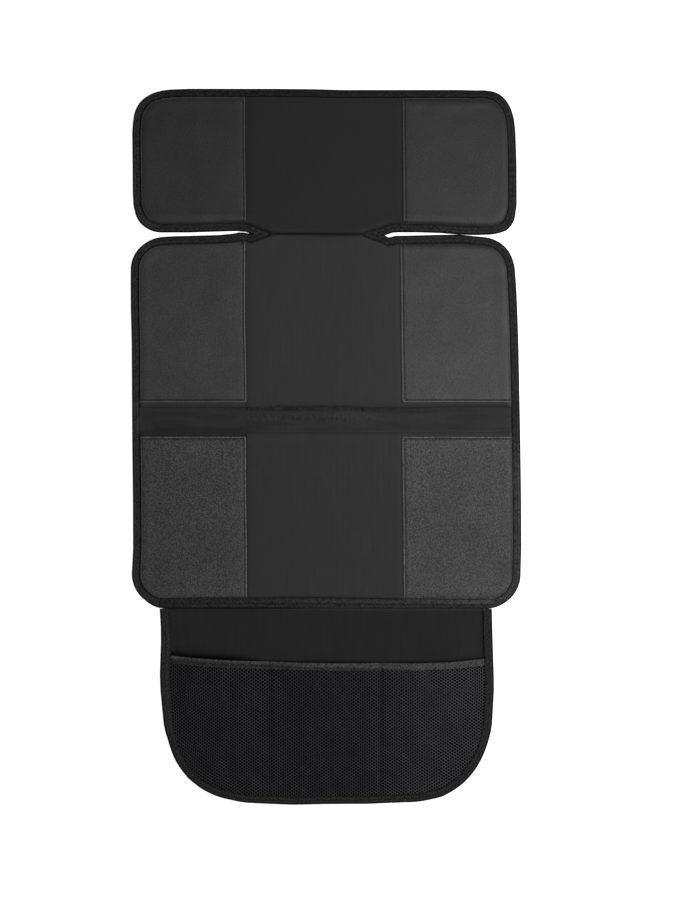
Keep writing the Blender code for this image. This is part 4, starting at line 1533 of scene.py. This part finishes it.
def stitch_row(part, line, height, pitch, length, width, tips=True):
    """Points and faces of a row of stitches along a line, in the row frame."""
    steps = even_steps(line, pitch)
    middles = (steps[1:] + steps[:-1]) / 2
    along = steps[1:] - steps[:-1]
    along /= np.linalg.norm(along, axis=1)[:, None]
    base, faces = one_stitch(length, width)
    z = height(middles)
    side = np.stack([-along[:, 1], along[:, 0]], axis=1)
    place = lie(part, middles, tips)
    points = (
        np.c_[place, z][:, None]
        + base[None, :, :1] * np.c_[along, np.zeros(len(along))][:, None]
        + base[None, :, 1:2] * np.c_[side, np.zeros(len(side))][:, None]
        + base[None, :, 2:] * np.array([0, 0, 1.0])
    )
    return points.reshape(-1, 3), faces, len(middles)


def stitch_object(name, rows, finish):
    """Joins rows of stitches into one piece."""
    points, faces, start = [], [], 0
    total = 0
    for row_points, base_faces, count in rows:
        per = len(row_points) // count
        points.append(row_points)
        for k in range(count):
            faces += [tuple(start + k * per + i for i in face) for face in base_faces]
        start += len(row_points)
        total += count
    made = mesh_object(name, np.vstack(points), faces)
    piece(made, finish, "edge_tape")
    print(name, total, "stitches")
    return made


# %% stitches on the leather patches
def patch_height(part):
    def height(points):
        return cover_height(part, points) + GAP + LEATHER - 0.32 * MM

    return height


leather_rows = []
for side in (-1, 1):
    x = side * (COLUMN_HALF + STITCH_IN)
    out = side * (HALF["seat"] - TAPE_WIDTH - 1 * MM)
    runs = (
        ("head", [(x, Y_REAR - TAPE_WIDTH - 1 * MM), (x, Y_CREASE + SLIT / 2 + TAPE_WIDTH + 1 * MM)]),
        ("seat", [(x, Y_CREASE - SLIT / 2 - TAPE_WIDTH - 1 * MM), (x, Y_REAR_PANEL_END + STITCH_IN)]),
        ("seat", [(x, Y_REAR_PANEL_END + STITCH_IN), (out, Y_REAR_PANEL_END + STITCH_IN)]),
        ("seat", [(x, Y_FRONT_PANEL_END - STITCH_IN), (out, Y_FRONT_PANEL_END - STITCH_IN)]),
        ("seat", [(x, Y_FRONT_PANEL_END - STITCH_IN), (x, Y_FRONT + TAPE_WIDTH + 1 * MM)]),
    )
    for part, line in runs:
        row = stitch_row(part, line, patch_height(part), STITCH_PITCH, 3.3 * MM, 1.15 * MM, tips=False)
        leather_rows.append(row)
stitch_object("leather_stitches", leather_rows, THREAD)


# %% stitches across the fold
def on_cover(points):
    return cover_height("seat", points) + 0.12 * MM


half = HALF["seat"] - TAPE_WIDTH - 1 * MM
fold_rows = []
for y in (Y_FOLD_REAR, Y_FOLD_FRONT):
    line = np.array([(-half, y), (half, y)])
    fold_rows.append(stitch_row("seat", line, on_cover, 4.2 * MM, 3.0 * MM, 0.5 * MM))
stitch_object("fold_stitches", fold_rows, FOLD_THREAD)

# %% stitches on the tapes
TAPE_STITCHES = (4.0 * MM, 2.9 * MM, 0.5 * MM)


def on_tape(part, sink):
    """The height of stitches that lie this deep in a tape's top."""
    top = (FLAP_EDGE if part == "flap" else MAT_EDGE) - sink
    return lambda points: top + front_rise(part, points)


tape_rows = []
for part in ("head", "seat", "flap"):
    line = LINES[part] + INWARD[part] * 8.2 * MM
    if part != "flap":
        line = line[(line[:, 1] - crease_of(part)) * (1 if part == "head" else -1) > 0.8 * MM]
    tape_rows.append(stitch_row(part, line, on_tape(part, 0.25 * MM), *TAPE_STITCHES))
reach = HALF["flap"] - 4 * MM
line = np.array([(-reach, Y_FRONT + 3.6 * MM), (reach, Y_FRONT + 3.6 * MM)])
tape_rows.append(stitch_row("seat", line, on_tape("seat", -0.05 * MM), *TAPE_STITCHES))
stitch_object("tape_stitches", tape_rows, THREAD)

# %% stitches on the pocket
divider_rows = []
x = np.linspace(-hem_half + 2 * MM, hem_half - 2 * MM, 200)
line = np.c_[x, hem_line(x) - 6.9 * MM]
hem_rows = [stitch_row("flap", line, lambda p: hem_lift(p) + 1.95 * MM, 3.5 * MM, 2.0 * MM, 0.6 * MM)]
for side in (-1, 1):
    x = side * DIVIDER
    line = np.array([(x, hem_line(x) + 0.5 * MM), (x, flap_end(np.array([x]), TAPE_WIDTH)[0] + 1 * MM)])

    def divider_height(points):
        on_hem = points[:, 1] > hem_line(points[:, 0]) - HEM_WIDTH
        return np.where(on_hem, hem_lift(points) + 2.3 * MM, NET_Z + 0.35 * MM)

    divider_rows.append(stitch_row("flap", line, divider_height, 3.2 * MM, 2.4 * MM, 0.7 * MM))
stitch_object("hem_stitches", hem_rows, LIGHT_THREAD)
stitch_object("divider_stitches", divider_rows, THREAD)

# %% [markdown]
# ## Floor, light and camera
#
# The mat lies on a plain white floor. The camera looks straight down from 2.6 m, so that the edges
# hardly lean outwards. One large soft light hangs overhead and a second one stands to the right,
# which makes the right-hand leather the brightest. Small lamps would be easier to place, but they
# would put hard shadows beside the tape. The floor glows a little towards the camera, so that it is
# white wherever the lamps reach it and only the mat's close shadow stays grey.


# %% floor
FLOOR_GLOW = 0.8
FLOOR_REACH = 5.0
FLOOR_Z = -0.5 * MM


def floor_finish():
    """Matt white that also shines by itself towards the camera and in reflections."""
    made = bpy.data.materials.new("white_floor")
    made.use_nodes = True
    tree = made.node_tree
    tree.nodes.clear()
    glow = tree.nodes.new("ShaderNodeEmission")
    glow.inputs["Color"].default_value = (1, 1, 1, 1)
    matt = tree.nodes.new("ShaderNodeBsdfDiffuse")
    matt.inputs["Color"].default_value = (0.8, 0.8, 0.8, 1)
    path = tree.nodes.new("ShaderNodeLightPath")
    seen = maths(tree, "MAXIMUM", path.outputs["Is Camera Ray"], path.outputs["Is Glossy Ray"])
    seen = maths(tree, "MAXIMUM", seen, path.outputs["Is Transmission Ray"])
    tree.links.new(maths(tree, "MULTIPLY", seen, FLOOR_GLOW), glow.inputs["Strength"])
    both = tree.nodes.new("ShaderNodeAddShader")
    out = tree.nodes.new("ShaderNodeOutputMaterial")
    tree.links.new(matt.outputs["BSDF"], both.inputs[0])
    tree.links.new(glow.outputs["Emission"], both.inputs[1])
    tree.links.new(both.outputs["Shader"], out.inputs["Surface"])
    return made


corners = [(x * FLOOR_REACH, y * FLOOR_REACH, FLOOR_Z) for x, y in ((-1, -1), (1, -1), (1, 1), (-1, 1))]
floor = mesh_object("floor", corners, [(0, 1, 2, 3)])
floor.data.materials.append(floor_finish())


# %% lights
def soft_light(name, place, target, size, power):
    """A large lamp at a place, turned towards its target."""
    data = bpy.data.lights.new(name, "AREA")
    data.shape = "RECTANGLE"
    data.size, data.size_y = size
    data.energy = power
    made = bpy.data.objects.new(name, data)
    made.location = place
    made.rotation_euler = (Vector(target) - Vector(place)).to_track_quat("-Z", "Y").to_euler()
    bpy.context.scene.collection.objects.link(made)


soft_light("overhead", (0.50, -0.05, 1.45), (0.1, 0, 0), (1.2, 1.4), 10.5)
soft_light("right", (0.75, 0.15, 0.85), (0.1, 0.1, 0), (0.5, 1.0), 7.3)
WORLD_LIGHT = 0.23
world = bpy.data.worlds.new("studio")
world.use_nodes = True
background = world.node_tree.nodes["Background"]
background.inputs["Color"].default_value = (1, 1, 1, 1)
path = world.node_tree.nodes.new("ShaderNodeLightPath")
seen = maths(world.node_tree, "MULTIPLY", path.outputs["Is Camera Ray"], 1 - WORLD_LIGHT)
strength = maths(world.node_tree, "ADD", seen, WORLD_LIGHT)
world.node_tree.links.new(strength, background.inputs["Strength"])
bpy.context.scene.world = world
bpy.context.scene.view_settings.view_transform = "Standard"

# %% camera
camera_data = bpy.data.cameras.new("camera")
camera_data.lens = 85
camera_data.sensor_width = 36
camera_data.clip_end = 20
camera = bpy.data.objects.new("camera", camera_data)
camera.location = (0.0137, -0.0028, 2.592)
bpy.context.scene.collection.objects.link(camera)
bpy.context.scene.camera = camera

# %% [markdown]
# ## The end
#
# The last cell prints how many pieces were made.

# %% finish
print("pieces:", len(PIECES))
